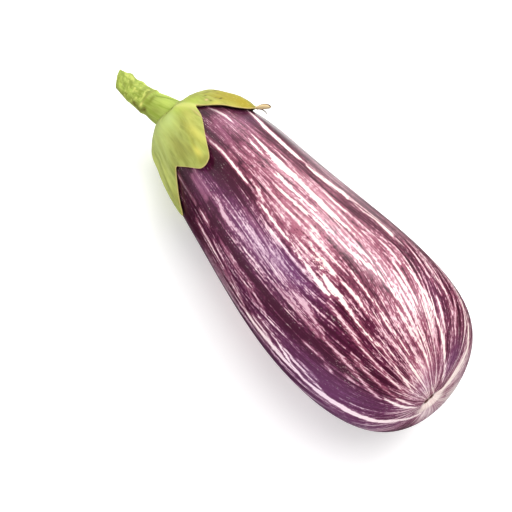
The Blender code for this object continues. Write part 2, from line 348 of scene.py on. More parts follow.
def new_material(name):
    """An empty material and its node tree."""
    material = bpy.data.materials.new(name)
    material.use_nodes = True
    return material, material.node_tree


def finish_material(material, skin, rough, height, relief, plain):
    """Gives the shader its colour, its roughness, a height's relief of some strength and depth, and its
    plain settings."""
    tree = material.node_tree
    strength, depth = relief
    bumps = put(tree, "ShaderNodeBump", {"Strength": strength, "Distance": depth, "Height": height})
    feeds = {"Base Color": skin, "Roughness": rough, "Normal": bumps.outputs["Normal"]}
    feed(tree.nodes["Principled BSDF"], {**feeds, **plain})
    return material


def make_grain_group():
    """Grown fibres: noise on a chart, drawn out along it. Grain is the noise, Line its narrow crests."""
    group = bpy.data.node_groups.new("grown_fibres", "ShaderNodeTree")
    for name in ("Chart", "Across", "Along", "Shift", "Wander"):
        kind = "NodeSocketVector" if name == "Chart" else "NodeSocketFloat"
        group.interface.new_socket(name, in_out="INPUT", socket_type=kind)
    for name in ("Grain", "Line"):
        group.interface.new_socket(name, in_out="OUTPUT", socket_type="NodeSocketFloat")
    into = put(group, "NodeGroupInput").outputs
    scale = put(group, "ShaderNodeCombineXYZ", {"X": into["Across"], "Y": into["Across"], "Z": into["Along"]})
    feeds = {0: into["Chart"], 1: scale.outputs[0], 2: into["Shift"]}
    spot = put(group, "ShaderNodeVectorMath", feeds, operation="MULTIPLY_ADD").outputs[0]
    feeds = {"Vector": spot, "Scale": 1, "Detail": 3, "Roughness": 0.55, "Distortion": into["Wander"]}
    noise = put(group, "ShaderNodeTexNoise", feeds).outputs["Fac"]
    line = sums("SUBTRACT", 1, sums("ABSOLUTE", scaled(noise, 2, -1)))
    put(group, "NodeGroupOutput", {"Grain": noise, "Line": line})
    return group


GROWN_FIBRES = make_grain_group()


def grain(place, across, along, shift, wander=0.0):
    """The fibres' Grain and Line at a material's own scale."""
    feeds = {"Chart": place, "Across": across, "Along": along, "Shift": shift, "Wander": wander}
    return put(place.id_data, "ShaderNodeGroup", feeds, node_tree=GROWN_FIBRES).outputs.values()


# The main streaks of the side that shows: paleness, then (length from the crown in mm, angle in
# degrees, width in mm) for the few points that each one runs through
STREAKS = (
    (1.0, (38, 30, 0.2), (43, 32, 1.6), (52, 35.5, 2.4), (63, 36, 2.7), (72, 36, 2.1), (77, 35, 0.6)),
    (1.0, (77, 37, 0.8), (82, 36.5, 2.4), (89, 35, 3.0), (95, 33, 3.6), (99, 33, 3.2), (102, 38, 0.6)),
    (0.9, (103, 34, 0.6), (110, 34, 1.6), (114, 32, 1.4), (119, 32, 2.2), (124, 33, 2.8), (127, 34, 0.4)),
    (0.9, (30, 65, 0.5), (34, 62, 1.3), (39, 60, 1.7), (44, 60, 1.2), (48, 59, 0.2)),
    (0.55, (35, 69, 0.3), (41, 72, 0.8), (48, 74, 0.7), (56, 76, 0.9), (62, 75, 1.0), (70, 72, 0.9),
     (82, 71.5, 0.3)),
    (0.95, (40, 87, 0.4), (46, 87, 0.9), (53, 85.5, 1.1), (61, 85.8, 1.5), (67, 86, 1.4), (73, 87, 0.3)),
    (0.8, (76, 84, 0.5), (79, 85, 1.8), (82, 86, 1.9), (85, 86, 0.4)),
    (1.0, (50, 55, 0.5), (57, 56, 1.1), (64, 57, 2.0), (69, 57, 2.8), (76, 57, 2.6), (84, 56.5, 2.2),
     (92, 57.5, 2.6), (100, 58, 2.8), (107, 58, 2.0), (113, 58, 1.4), (122, 58.5, 0.5)),
    (0.95, (54, 61, 0.3), (58, 62, 1.2), (62, 62, 1.3), (67, 62.5, 0.5)),
    (0.5, (43, 51, 0.3), (50, 51.5, 0.9), (57, 52, 0.9), (64, 51, 0.3)),
    (0.8, (61, 47, 0.4), (68, 50, 0.7), (74, 51.5, 0.9), (82, 51.5, 0.9), (90, 50.5, 0.9), (99, 48, 0.9),
     (108, 46, 0.3)),
    (0.6, (54, 81, 0.3), (57, 81.5, 0.6), (61, 81, 0.3)),
    (0.75, (64, 80, 0.3), (70, 79, 0.8), (77, 78, 0.8), (84, 79, 1.4), (91, 79, 1.3), (99, 78, 0.9),
     (106, 77.5, 0.9), (112, 77.5, 1.6), (117, 78, 1.6), (121, 77.5, 0.3)),
    (0.95, (69, 82, 0.4), (75, 82.5, 1.3), (79, 83.5, 0.9)),
    (0.95, (80, 90.5, 0.3), (85, 89.5, 1.4), (92, 90.3, 1.9), (99, 91.2, 2.4), (106, 91.8, 1.2)),
    (0.95, (104, 92, 0.6), (109, 92.3, 2.2), (114, 92.8, 1.7), (120, 94.2, 1.5), (128, 96.2, 2.0),
     (133, 97, 0.4)),
    (1.0, (121, 88, 0.4), (125, 91, 1.8), (129, 92.3, 2.9), (133, 92.3, 1.9), (139, 92.5, 1.4),
     (145, 93.5, 1.3), (151, 94, 1.1), (156, 92.5, 1.5), (161, 91.5, 0.4)),
    (0.9, (110, 84, 0.4), (115, 84.4, 1.4), (121, 84.6, 2.2), (126, 85.6, 1.6), (130, 87, 0.3)),
    (0.9, (130, 85.5, 0.3), (135, 84.6, 1.4), (140, 84.4, 1.8), (144, 85, 1.5), (148, 85.5, 0.3)),
    (0.9, (124, 77, 0.3), (129, 77.5, 1.1), (135, 78, 1.4), (141, 77.5, 1.2), (147, 76.5, 1.2),
     (152, 77.2, 1.9), (157, 76.8, 1.5), (164, 75, 1.4), (169, 74, 1.2), (173, 71, 0.9), (176, 62, 0.4)),
    (0.75, (146, 84, 0.3), (151, 82, 1.1), (157, 82.5, 1.2), (161, 81, 1.5), (165, 80, 0.5)),
    (0.8, (171, 85, 0.3), (174, 87, 1.2), (177, 92, 1.5), (181, 99, 1.2)),
    (0.85, (156, 90, 0.3), (161, 91, 1.1), (166, 92.5, 1.2), (171, 95, 1.3), (175, 98, 1.9),
     (179, 104, 1.8)),
    (0.8, (132, 100, 0.3), (137, 100, 0.8), (142, 100.6, 1.0), (149, 101.3, 1.8), (155, 102.5, 1.4),
     (161, 103.7, 1.1), (167, 105, 1.2), (172, 108, 1.2), (177, 113, 1.1), (181, 121, 0.6)),
    (0.7, (151, 112, 0.3), (156, 113, 1.0), (162, 115.5, 1.0), (168, 118.5, 1.1), (173, 123, 1.1),
     (178, 131, 0.6)),
    (1.0, (148, 2.5, 0.4), (161, 3, 1.0), (168, 0, 1.3), (175, -5, 1.6), (180, -9.5, 1.9), (186, -9, 2.0),
     (190.3, -8.2, 2.2), (192.2, -11.7, 2.2), (194, -16, 2.2)),
    (0.6, (150, -3, 0.3), (160, -8, 1.2), (170, -13, 1.0), (178, -22, 1.3), (185, -38, 1.0)),
    (1.0, (169, 130, 0.4), (173, 134, 2.4), (177, 140, 3.0), (181, 147, 2.4), (184, 155, 1.4)),
    (0.95, (139, 44, 0.3), (148, 42.6, 1.4), (158, 39.7, 1.7), (165, 38.2, 1.6), (170, 37, 1.6),
     (179, 34.2, 1.5), (186, 26.5, 1.2), (189, 20, 0.8)),
    (0.6, (129, 42, 0.4), (133, 42.5, 0.9), (138, 43.5, 0.4)),
    (0.8, (124, 47, 0.4), (129, 47, 1.7), (135, 47.5, 1.6), (140, 47.5, 0.5)),
    (0.8, (128, 27.5, 0.3), (134, 28.5, 1.3), (140, 29.5, 1.4), (146, 30.2, 1.2), (153, 28, 0.9),
     (158, 26, 0.3)),
    (0.85, (139, 23.5, 0.3), (144, 23.5, 1.0), (151, 22.5, 0.7), (156, 20.5, 0.9), (160, 18.5, 0.3)),
    (0.7, (156, 11.5, 0.4), (161, 13.5, 1.5), (166, 16.5, 1.3), (169, 18, 0.3)),
    (0.95, (70, 63, 0.3), (78, 65, 0.8), (85, 66, 1.9), (92, 66, 1.8), (98, 65, 1.5), (104, 64, 0.5)),
    (0.9, (78, 72.5, 0.4), (84, 72, 1.4), (91, 71, 1.8), (98, 70, 1.8), (105, 69.5, 1.5), (112, 68.5, 1.0),
     (120, 68, 0.4)),
    (0.75, (70, 75, 0.3), (76, 75, 0.9), (82, 75.5, 0.5)),
    (0.8, (112, 64, 0.3), (118, 64, 1.0), (126, 63.5, 1.2), (134, 61, 1.0), (140, 60.3, 1.1),
     (147, 59.5, 1.2), (154, 59, 0.4)),
    (0.9, (119, 68.5, 0.3), (124, 68.3, 1.4), (131, 67, 1.6), (137, 65, 1.3), (143, 63.5, 1.5),
     (150, 62, 1.5), (157, 60, 1.3), (164, 58, 1.2), (170, 55, 0.4)),
    (0.85, (115, 51.5, 0.4), (121, 51.3, 2.1), (131, 52, 1.4), (138, 51, 1.7), (145, 51, 1.4),
     (152, 50.5, 1.0), (160, 50, 0.4)),
    (0.85, (134, 56.5, 0.4), (141, 55, 1.4), (148, 53.7, 1.6), (155, 53, 1.4), (162, 52, 1.1),
     (168, 51, 0.4)),
    (0.8, (143, 57.5, 0.4), (149, 57, 1.7), (156, 56, 1.7), (163, 55.5, 1.4), (169, 54.5, 0.5)),
    (0.85, (145, 66, 0.3), (151, 65, 1.0), (158, 64, 2.2), (164, 63.5, 2.0), (169, 62, 1.2), (174, 58, 0.5)),
    (0.7, (148, 46, 0.3), (155, 45.5, 1.0), (163, 45, 1.0), (168, 46, 1.4), (173, 43.5, 0.9),
     (178, 41, 0.4)),
    (0.75, (141, 71, 0.3), (146, 71, 1.3), (151, 70, 0.9), (156, 70.5, 1.1), (161, 70.5, 0.4)),
    (0.45, (49, 114.5, 0.4), (54, 115, 0.9), (61, 115, 0.8), (66, 115, 0.3)),
    (0.4, (51, 119, 0.3), (57, 119.5, 0.8), (65, 119.7, 0.4)),
    (0.6, (41, 131, 0.4), (47, 131.5, 1.0), (54, 132, 1.0), (61, 132, 0.5)),
    (0.8, (64, 132, 0.4), (68, 132, 1.3), (71, 132.3, 1.3), (73, 133, 0.3)),
    (0.7, (66, 112.5, 0.4), (70, 113.5, 1.5), (75, 115.5, 1.7), (80, 116, 1.5), (84, 115.5, 0.5)),
    (0.65, (70, 109.5, 0.3), (75, 109, 1.0), (84, 109, 0.8), (94, 108.3, 0.9), (104, 107.7, 0.8),
     (110, 109, 1.2), (116, 109.3, 1.0), (121, 110, 1.9), (125, 110.6, 2.6), (130, 112, 1.8),
     (135, 114, 1.0), (140, 115.5, 0.4)),
    (0.6, (84, 114, 0.3), (88, 114, 1.6), (93, 113.8, 1.7), (99, 112.8, 0.5)),
    (0.55, (78, 101.5, 0.3), (85, 101.6, 1.2), (94, 102.2, 1.5), (104, 105, 0.6), (112, 106, 0.3)),
    (0.5, (112, 115.5, 0.3), (119, 116, 0.9), (127, 117, 0.9), (135, 118, 0.7), (139, 119, 0.3)),
    (0.65, (138, 117, 0.3), (144, 117, 0.9), (148, 118, 1.2), (153, 119.5, 1.3), (158, 122, 0.7),
     (163, 127, 1.4), (167, 131, 1.6), (169, 133, 0.4)),
    (0.85, (64, 143, 0.3), (70, 143.3, 1.3), (78, 143.5, 1.3), (86, 145, 0.9), (93, 147, 0.9),
     (99, 149, 1.2), (105, 151, 0.8)),
    (0.8, (77, 137.5, 0.4), (83, 138.8, 1.3), (90, 141, 0.9), (95, 143, 1.1), (101, 148, 1.4),
     (105, 151, 0.9)),
    (0.95, (104, 152, 0.6), (108, 153.5, 2.6), (114, 154, 3.2), (121, 153.5, 3.4), (128, 154, 3.2),
     (133, 155, 2.0), (136, 156, 0.8)),
    (0.95, (112, 143.5, 0.3), (118, 143.7, 1.0), (124, 144.5, 1.2), (129, 148, 1.8), (134, 153, 2.4),
     (140, 156.5, 2.6), (148, 158, 3.6), (157, 162.3, 4.2), (165, 168.5, 4.0), (172, 175.5, 3.4),
     (178, 182, 2.8), (184, 204, 2.4), (187, 222, 2.0)),
    (0.85, (124, 143, 0.3), (131, 145.2, 1.2), (138, 148, 1.4), (146, 152, 1.6), (150, 157, 1.2)),
    (0.9, (182, 62, 0.4), (186, 58, 1.2), (190, 40, 1.4)),
    (0.45, (81, 131, 0.3), (89, 132, 0.8), (97, 133.5, 0.9), (105, 136, 0.7), (112, 138.5, 0.3)),
    (0.7, (102, 131, 0.3), (107, 132.7, 0.9), (112, 134.5, 0.9), (117, 137, 0.3)),
    (0.6, (134, 142.5, 0.3), (138, 143.5, 1.3), (142, 145, 1.0), (146, 147, 0.3)),
    (0.6, (133, 128.5, 0.3), (138, 128.5, 0.9), (144, 128.5, 0.3)),
    (0.6, (153, 127.5, 0.3), (156, 128, 1.4), (160, 129, 0.3)),
    (0.85, (172, 122, 0.4), (176, 127, 2.2), (180, 133, 2.2), (184, 142, 0.6)),
    (0.85, (108, 148.3, 0.4), (113, 148.9, 1.9), (118, 149.3, 1.5), (122, 150, 0.4)),
    (0.85, (156, 32, 0.4), (161, 32.4, 1.8), (166, 32.6, 1.5), (171, 32.5, 0.4)),
    (0.8, (84, 61.5, 0.4), (88, 61.6, 1.6), (93, 61.8, 1.3), (97, 62, 0.3)),
    (0.7, (54, 69, 0.3), (58, 68.9, 1.3), (62, 68.6, 1.4), (67, 68.4, 0.4)),
    (0.7, (144, 130.5, 0.3), (147, 131.5, 1.2), (150, 132.5, 0.3)),
)
# The streaks of the hidden side are drawn from these ranges, in the same units, each one with its width
# as shares along it
STREAK_SEED = 11
HIDDEN_STREAKS = 70
HIDDEN_STARTS = (40, 150)
HIDDEN_RUNS = (10, 55)
HIDDEN_ANGLES = (172, 372)
HIDDEN_DRIFT = 0.05
HIDDEN_WIDTHS = (0.6, 2.8)
HIDDEN_PALENESS = (0.55, 1)
WIDTH_ALONG = ((0, 0.3, 0.7, 1), (0.15, 0.9, 1, 0.15))
# How the streaks wander: size, waves round the fruit, mm along it for each radian, and shift
WANDERS = ((0.035, 3, 21, 0), (0.02, 7, -13, 1.3))

# Broad patches of tone: angle in degrees, length in mm, spread as the same, and amount. Streaky ones
# have more fine streaks or, below zero, fewer. Elsewhere there are fewer by BARE, and by CALM_BARE more
# near the crown, where the skin is calm.
SKIN_TONES = {
    "rosy": (
        (60, 92, 20, 34, 0.9), (57, 92, 12, 34, 0.6), (90, 186, 80, 5, 0.6), (68, 176, 16, 7, 0.6),
        (80, 104, 12, 24, 0.7), (55, 150, 16, 22, 0.7), (16, 80, 12, 50, 0.8), (62, 45, 16, 11, 1.0),
        (14, 171, 12, 13, 0.3), (-90, 190, 70, 8, 1.3), (90, 178, 50, 6, 0.5), (228, 90, 22, 40, 0.9),
        (290, 110, 24, 40, 0.8), (345, 120, 16, 40, 0.6),
    ),
    # Violet skin, partly a painted sheen: the soft gloss on the lower-left flank, the middle band and by the
    # crown
    "violet_and_sheen": (
        (109, 94, 13, 34, 0.9), (138, 92, 12, 34, 0.3), (146, 150, 18, 30, 1.0), (66, 45, 18, 12, 0.4),
        (192, 160, 24, 24, 0.6), (118, 56, 14, 10, 0.4), (40, 44, 12, 8, 0.5), (33, 158, 8, 12, 0.25),
        (16, 182, 12, 7, 0.7), (-90, 188, 70, 8, 0.5), (101, 114, 6, 14, 0.6), (80, 182, 50, 5, 0.45),
        (170, 100, 14, 60, 0.6), (200, 140, 30, 30, 0.7), (260, 60, 30, 20, 0.6), (320, 150, 24, 30, 0.6),
    ),
    "streaky": (
        (57, 92, 12, 40, 0.43), (62, 150, 20, 30, 0.47), (82, 100, 13, 30, 0.42), (108, 98, 10, 34, 0.66),
        (137, 92, 12, 34, 0.4), (161, 95, 9, 45, 0.3), (90, 145, 26, 24, 0.14), (28, 145, 16, 26, 0.3),
        (85, 178, 60, 7, 0.24), (36, 160, 7, 14, 0.3), (14, 172, 10, 13, -0.26), (69, 175, 15, 7, 0.32),
        (-90, 190, 70, 8, 0.8), (70, 187, 90, 5, 0.35), (35, 98, 9, 30, 0.3), (115, 176, 26, 8, 0.32),
        (97, 63, 10, 13, -0.3), (126, 108, 4.5, 34, -0.35), (44, 84, 4, 26, -0.3), (100, 148, 20, 12, -0.12),
        (148, 66, 10, 16, -0.15), (140, 148, 14, 20, -0.25), (66, 48, 14, 8, 0.2), (228, 95, 26, 45, 0.45),
        (290, 115, 28, 45, 0.4), (345, 110, 18, 45, 0.35), (190, 162, 24, 22, 0.28), (60, 46, 16, 10, 0.2),
        (30, 78, 10, 26, 0.22), (350, 178, 40, 10, 0.3), (67, 141, 7, 8, -0.46), (104, 134, 5, 12, -0.34),
        (38, 138, 7, 8, -0.26), (96, 143, 6, 8, -0.34), (77, 99, 4, 7, -0.36), (51, 81, 7, 9, -0.38),
        (95, 161, 8, 7, 0.52), (97, 96, 7, 10, 0.34), (167, 181, 14, 6, 0.45), (3, 167, 7, 9, 0.5),
        (89, 110, 5, 10, 0.24), (-133, 188, 25, 6, 0.4), (-27, 194, 25, 6, 0.24), (70, 37, 10, 5, 0.36),
        (155, 175, 10, 6, 0.2), (80, 143, 3.5, 7, 0.24), (88, 130, 4, 8, -0.24), (-64, 193, 20, 6, 0.42),
        (155, 141, 7, 9, -0.42), (74, 157, 5, 7, 0.24), (58, 146, 5, 7, -0.24), (23, 122, 5, 9, 0.24),
        (41, 74, 5, 8, -0.2), (112, 146, 4, 7, 0.22), (101, 117, 4, 9, -0.2), (173, 155, 8, 8, 0.2),
        (108, 185, 12, 5, 0.2), (45, 144, 5, 7, -0.2), (71, 122, 4, 10, -0.2), (71, 66, 7, 7, 0.22),
        (31, 93, 4, 8, 0.38), (115, 107, 5, 9, -0.18), (-161, 176, 14, 8, 0.2), (46, 176, 8, 6, -0.2),
        (106, 143, 5, 9, -0.22), (113, 123, 4, 7, 0.22), (110, 94, 4, 7, 0.2), (60, 51, 8, 5, -0.2),
        (88, 57, 6, 6, -0.2), (98, 70, 6, 9, -0.18), (149, 68, 8, 6, -0.18), (12, 152, 10, 10, 0.16),
        (81, 101, 3, 8, -0.3), (40, 139, 4, 6, -0.24), (124, 153, 4, 7, -0.2), (23, 180, 8, 6, -0.26),
        (81, 185, 12, 4, 0.34), (90, 151, 4, 5, -0.25),
    ),
    "speckled": (
        (86, 119, 6, 9, 1.1), (93, 128, 3, 5, 0.7), (119, 149, 4, 8, 0.6), (126, 155, 4, 6, 0.5),
        (60, 168, 12, 5, 0.4), (34, 106, 6, 8, 0.5), (152, 140, 5, 12, 0.5), (240, 120, 8, 12, 0.8),
    ),
}
BARE = 0.42
CALM_BARE = 0.22
CALM_UNTIL = (46, 82)
# Painted shadow of the lobes on the skin beneath and beside them: angle round the fruit, length, spread, and
# amount
LOBE_SHADOWS = (
    (66, 33, 13, 4.5, 0.85), (98, 56.5, 7, 3.4, 1.0), (92, 50, 3, 6, 0.5), (126, 47, 4, 7, 1.0),
    (133, 52, 5, 7, 0.9), (144, 58, 8, 6, 0.7), (84, 44, 3.5, 8, 0.5), (35, 41, 20, 3, 0.35),
    (151, 50, 5, 5, 0.5),
)

# The skin's colours, in steps of 255. A pair is the tone on wine and on violet ground, or the two of cork.
# The
# # violet ground is partly a painted sheen, and the darkest wine under the lobes is painted shadow.
WINE = (84, 14, 50)
ROSE = (172, 100, 120)
PALE_ROSE = (212, 156, 168)
VIOLET_AND_SHEEN = (108, 54, 98)
DEEPEST_WINE = (54, 2, 28)
MARGINS = ((150, 74, 98), (132, 84, 122))
FLUSHES = ((216, 170, 182), (198, 164, 184))
CREAMS = ((246, 230, 218), (234, 210, 224))
TAN = (224, 170, 144)
LOBE_SHADOW_WINE = (44, 8, 26)
CORKS = ((216, 184, 180), (244, 230, 222))
SLIT_BROWN = (84, 34, 30)


def streak_field(angle, length, radius):
    """How far inside the nearest streak each place is, in mm, and how pale that streak is. A streak's
    middle and its width are straight lines between its points."""
    draw = np.random.default_rng(STREAK_SEED)
    streaks = list(STREAKS)
    for _ in range(HIDDEN_STREAKS):
        start, run = draw.uniform(*HIDDEN_STARTS), draw.uniform(*HIDDEN_RUNS)
        middle, drift = draw.uniform(*HIDDEN_ANGLES), draw.normal(0, HIDDEN_DRIFT)
        lengths = start + run * np.array(WIDTH_ALONG[0])
        widths = draw.uniform(*HIDDEN_WIDTHS) * np.array(WIDTH_ALONG[1])
        angles = middle + drift * (lengths - start)
        streaks.append((draw.uniform(*HIDDEN_PALENESS), *zip(lengths, angles, widths)))
    inside = np.full(angle.shape, -2.0)
    paleness = np.zeros(angle.shape)
    for pale, *points in streaks:
        lengths, angles, widths = np.array(points, dtype=float).T
        middle = np.radians(np.interp(length, lengths, angles))
        width = np.interp(length, lengths, widths, left=-2, right=-2)
        depth = width / 2 - np.abs(turned(angle - middle)) * radius
        paleness = np.where(depth > inside, pale, paleness)
        inside = np.maximum(inside, depth)
    return inside, paleness


def make_fruit_skin():
    """Waxy skin: a dark ground with rosy patches and purple ones that are partly a painted sheen, and on it
    what
    is pale: main streaks with a halo, fine streaks of woven noise, hairs, dots and blots. Tan specks, painted
    shadow under the lobes, cork and slit lie on top."""
    material, tree = new_material("striped_skin")
    place = chart(tree, "streak_chart")
    inside, pale, calm, shaded = masks(tree, "inside_streak", "streak_paleness", "calm", "shaded")
    rosy, violet_and_sheen, streaky, speckled, scar, slit = masks(tree, *SKIN_TONES, "scar", "slit")
    strands, _ = grain(place, 13, 1.7, 0.0, 0.3)
    threads, _ = grain(place, 28, 3.2, 7.3, 0.3)
    hairs, hair_line = grain(place, 60, 6.0, 3.1, 0.3)
    flecks, _ = grain(place, 48, 60, 5.7)
    specks, _ = grain(place, 95, 110, 9.1)

    weave = scaled(strands, 2.0, scaled(threads, 2.0, -3.9))
    weave = scaled(flecks, 1.7, scaled(hairs, 2.1, weave))
    weave = sums("ADD", weave, streaky)
    ground = blend(rosy, WINE, ROSE)
    ground = blend(between(0.8, 1.6, rosy), ground, PALE_ROSE)
    # Violet ground: purple skin, and partly a painted sheen
    ground = blend(violet_and_sheen, ground, VIOLET_AND_SHEEN)
    deep = times(between(-0.1, -0.6, weave), scaled(violet_and_sheen, -0.6, 0.9))
    ground = blend(deep, ground, DEEPEST_WINE)

    ragged = scaled(flecks, 2.4, scaled(threads, 2.6, scaled(hairs, 2.4, -3.7)))
    edge = scaled(ragged, scaled(calm, -0.65, 1), inside)
    main = times(between(-0.25, 0.5, edge), pale)
    halo = times(between(-1.5, 0.2, edge), 0.3)
    thin = scaled(between(0.12, 0.7, weave), 0.5, times(between(0.0, 0.16, weave), 0.5))
    thin = times(thin, scaled(violet_and_sheen, -0.12, 1))
    hair = sums("ADD", hair_line, scaled(weave, 0.10, 0.02))
    hair = times(between(0.985, 1.03, hair), scaled(calm, -0.3, 0.5))
    dots = sums("ADD", specks, scaled(speckled, 0.24, -0.23))
    dots = times(between(0.50, 0.62, dots), 0.75)
    blots = sums("ADD", flecks, scaled(speckled, 0.32, -0.30))
    blots = times(between(0.50, 0.60, blots), 0.95)
    paleness = main
    for paler in (halo, thin, dots, hair, blots):
        paleness = sums("MAXIMUM", paleness, paler)

    skin = blend(between(0.0, 0.4, paleness), ground, blend(violet_and_sheen, *MARGINS))
    skin = blend(between(0.25, 0.7, paleness), skin, blend(violet_and_sheen, *FLUSHES))
    skin = blend(between(0.65, 1.0, paleness), skin, blend(violet_and_sheen, *CREAMS))
    tan = times(between(0.8, 1.1, speckled), between(0.52, 0.66, specks))
    skin = blend(times(tan, 0.7), skin, TAN)
    # Painted shadow that the calyx lobes cast on the skin
    skin = blend(times(shaded, 0.75), skin, LOBE_SHADOW_WINE)
    scar = scaled(specks, 1.6, sums("ADD", scaled(hairs, 1.2, scar), -1.4))
    skin = blend(between(0.2, 0.8, scar), skin, blend(between(0.38, 0.62, hairs), *CORKS))
    skin = blend(slit, skin, SLIT_BROWN)

    height = scaled(paleness, 0.6, times(flecks, 0.5))
    coat = {"Coat Weight": 0.55, "Coat Roughness": 0.12}
    return finish_material(material, skin, scaled(paleness, 0.14, 0.30), height, (0.35, 0.12 * MM), coat)


def beside_slit(skin):
    """How far places lie along the slit from its middle, and past it on the side of the fruit's end."""
    scar = np.array(SCAR_DOWN), np.array(SCAR_ROUND)
    step = 0.1
    round_it = unit(smooth_fruit(SCAR_DOWN, SCAR_ROUND + step) - smooth_fruit(SCAR_DOWN, SCAR_ROUND - step))
    to_end = np.cross(outward(*scar), round_it)
    away = skin - fruit_skin(*scar) - SLIT_OFF[0] * to_end - SLIT_OFF[1] * round_it
    slit_way = math.cos(SLIT_TURN) * round_it + math.sin(SLIT_TURN) * to_end
    past_way = math.cos(SLIT_TURN) * to_end - math.sin(SLIT_TURN) * round_it
    near = np.linalg.norm(away, axis=-1) < FRUIT_LENGTH / 4
    return np.where(near, away @ slit_way, FRUIT_LENGTH), away @ past_way


def make_fruit():
    """The skin over its chart, ring by ring, with the slit pressed in and the lying flank flattened."""
    fold = np.linspace(0, np.pi, FRUIT_RINGS + 2)[1:-1]
    down, around = ring_grid(fold + RING_CROWDING * np.sin(fold), FRUIT_AROUND)
    length = np.interp(down, SKIN_ANGLES, SKIN_LENGTHS) / MM
    angle = streak_way(down, around)
    skin = fruit_skin(down, around)
    along, beside = beside_slit(skin)
    slit = sum(bump(middle, half, along) for middle, half in SLIT_GAPES) * bump(0, SLIT_WIDTH, beside)
    crack = bump(0, SLIT_WIDTH * CRACK_WIDTH, beside) * (1 - ease(*CRACK_ENDS, np.abs(along) / SLIT_HALF))
    skin = skin - outward(down, around) * (SLIT_DEPTH * np.maximum(slit, crack * CRACK_DEPTH))[..., None]
    places = lie_down(skin)
    places[..., 2] = np.maximum(places[..., 2], 0)
    mesh = skin_mesh("fruit_skin", places)

    wander = sum(size * np.sin(waves * angle + length / reach + shift)
                 for size, waves, reach, shift in WANDERS)
    inside, paleness = streak_field(angle, length, girth(down) / MM)
    calm = 1 - ease(*CALM_UNTIL, length)
    tones = spread(SKIN_TONES, angle, length)
    tones["streaky"] -= BARE + CALM_BARE * calm
    cork = 1 - ease(*CORK_FADES, np.hypot(along / CORK_HALF[0], (beside - CORK_OFF) / CORK_HALF[1]))
    # The lobe shadow stored with the tones is painted shadow of the calyx lobes
    keep(mesh, streak_chart=round_chart(angle + wander, length / 100), inside_streak=inside, calm=calm,
         streak_paleness=paleness, scar=cork, slit=ease(*SLIT_PAINT, np.maximum(slit, crack * CRACK_PAINT)),
         shaded=patches(LOBE_SHADOWS, around, length), **tones)
    add_piece("striped_fruit", mesh, make_fruit_skin(), "fruit")


make_fruit()


# The calyx: the flower's green cap, five leathery lobes grown together round the stem. It is clasped
# on the crown, its rim pale and thin where it lifts off the skin, and one tip has dried to a curl.
GAP = 0.3 * MM
# Each lobe's rim: its corners from the notch to the tip, the tip, and its corners towards the next
# notch, as angle in degrees and reach in mm, then how high it arches and its tip lifts, in mm
LOBES = (
    (((-24, 29), (-12, 33), (2, 36.5), (14, 39.5)), (24, 41.2),
     ((33, 41), (44, 38.4), (58, 33.6), (68, 28.8)), 1.4, 0.9),
    (((72, 26.5), (74.5, 32), (85.5, 41.4), (91, 47.4), (96, 53.2), (101, 54.6)), (104, 54.6),
     ((107, 54.2), (110, 52.4), (116, 48.2)), 0.5, 1.7),
    (((126, 42.2), (131, 44.9), (144, 50), (151, 54.6)), (156, 57),
     ((161, 54), (172, 45.5), (182, 38.8)), 0.1, 0.1),
    (((190, 36), (199, 39), (211, 44.4)), (220, 46), ((229, 44.6), (240, 38.5), (251, 32)), 0.1, 0.1),
    (((258, 30), (268, 33.5), (283, 41.5)), (295, 44), ((305, 42.4), (320, 35.5), (330, 30.5)), 0.3, 0.3),
)
RIM = [corner for rise, tip, fall, *_ in LOBES for corner in (*rise, tip, *fall)]
CORNER_ROUNDING = math.radians(1.6)
ROUNDING_STEPS = 7
LOBE_BLUNTNESS = 1.35
LIFT_STARTS = 17 * MM
LIFT_PEAK = 1.5
CROWN_FLESH = 2.5 * MM
LOBE_FLESH = 1.0 * MM
LEAST_FLESH = 0.4 * MM
FLESH_THINS = (19 * MM, 31 * MM)
# Where the crown dips: angle and length, spread round and along, and depth, in degrees and mm
DIPS = ((50, 12, 50, 6.5, 2.6), (88, 12, 20, 6.0, 1.5), (143, 17, 18, 6.0, 0.4), (147, 20.5, 4, 2.0, -0.3),
        (155, 24, 4, 2.0, -0.3))
# Lines along which it is raised or creased: angle and length at each end, height in mm, half width in
# degrees
RIDGES = (
    (87, 18, 71, 29, 0.55, 4.5), (97, 38, 104, 52, -0.3, 1.6), (108, 34, 106, 46, 0.22, 1.2),
    (92, 24, 94, 38, -0.15, 2.0), (118, 24, 114, 40, 0.16, 2.0), (128, 22, 132, 36, -0.15, 2.4),
    (142, 30, 150, 50, 0.16, 1.6), (101, 24, 101, 36, 0.14, 1.8), (36, 24, 28, 38, 0.2, 3.0),
    (54, 22, 46, 33, -0.2, 2.0), (12, 20, 18, 34, -0.15, 2.5), (222, 20, 221, 42, 0.2, 2.0),
    (205, 20, 210, 38, -0.15, 2.2), (240, 20, 234, 34, 0.15, 2.4), (294, 20, 295, 40, 0.2, 2.0),
    (278, 20, 284, 36, -0.15, 2.2), (310, 20, 306, 36, 0.15, 2.4), (160, 22, 157, 46, 0.2, 2.0),
)
RIDGE_ENDS = 4
# Fine folds: their height, waves round the calyx and how much those sway, waves that cross them, the
# length along which these turn, and where the folds start
FOLD_HEIGHT = 0.08 * MM
FOLD_WAVES = 23
FOLD_SWAY = (2, 5)
FOLD_CROSSINGS = 9
FOLD_TURN = 9 * MM
FOLDS_START = (8 * MM, 16 * MM)
RIM_ROUNDING = 0.35
CROWN_GAP = 0.15 * MM
CROWN_CIRCLES = 36 * MM
CIRCLES_END = (0.3, 0.9)
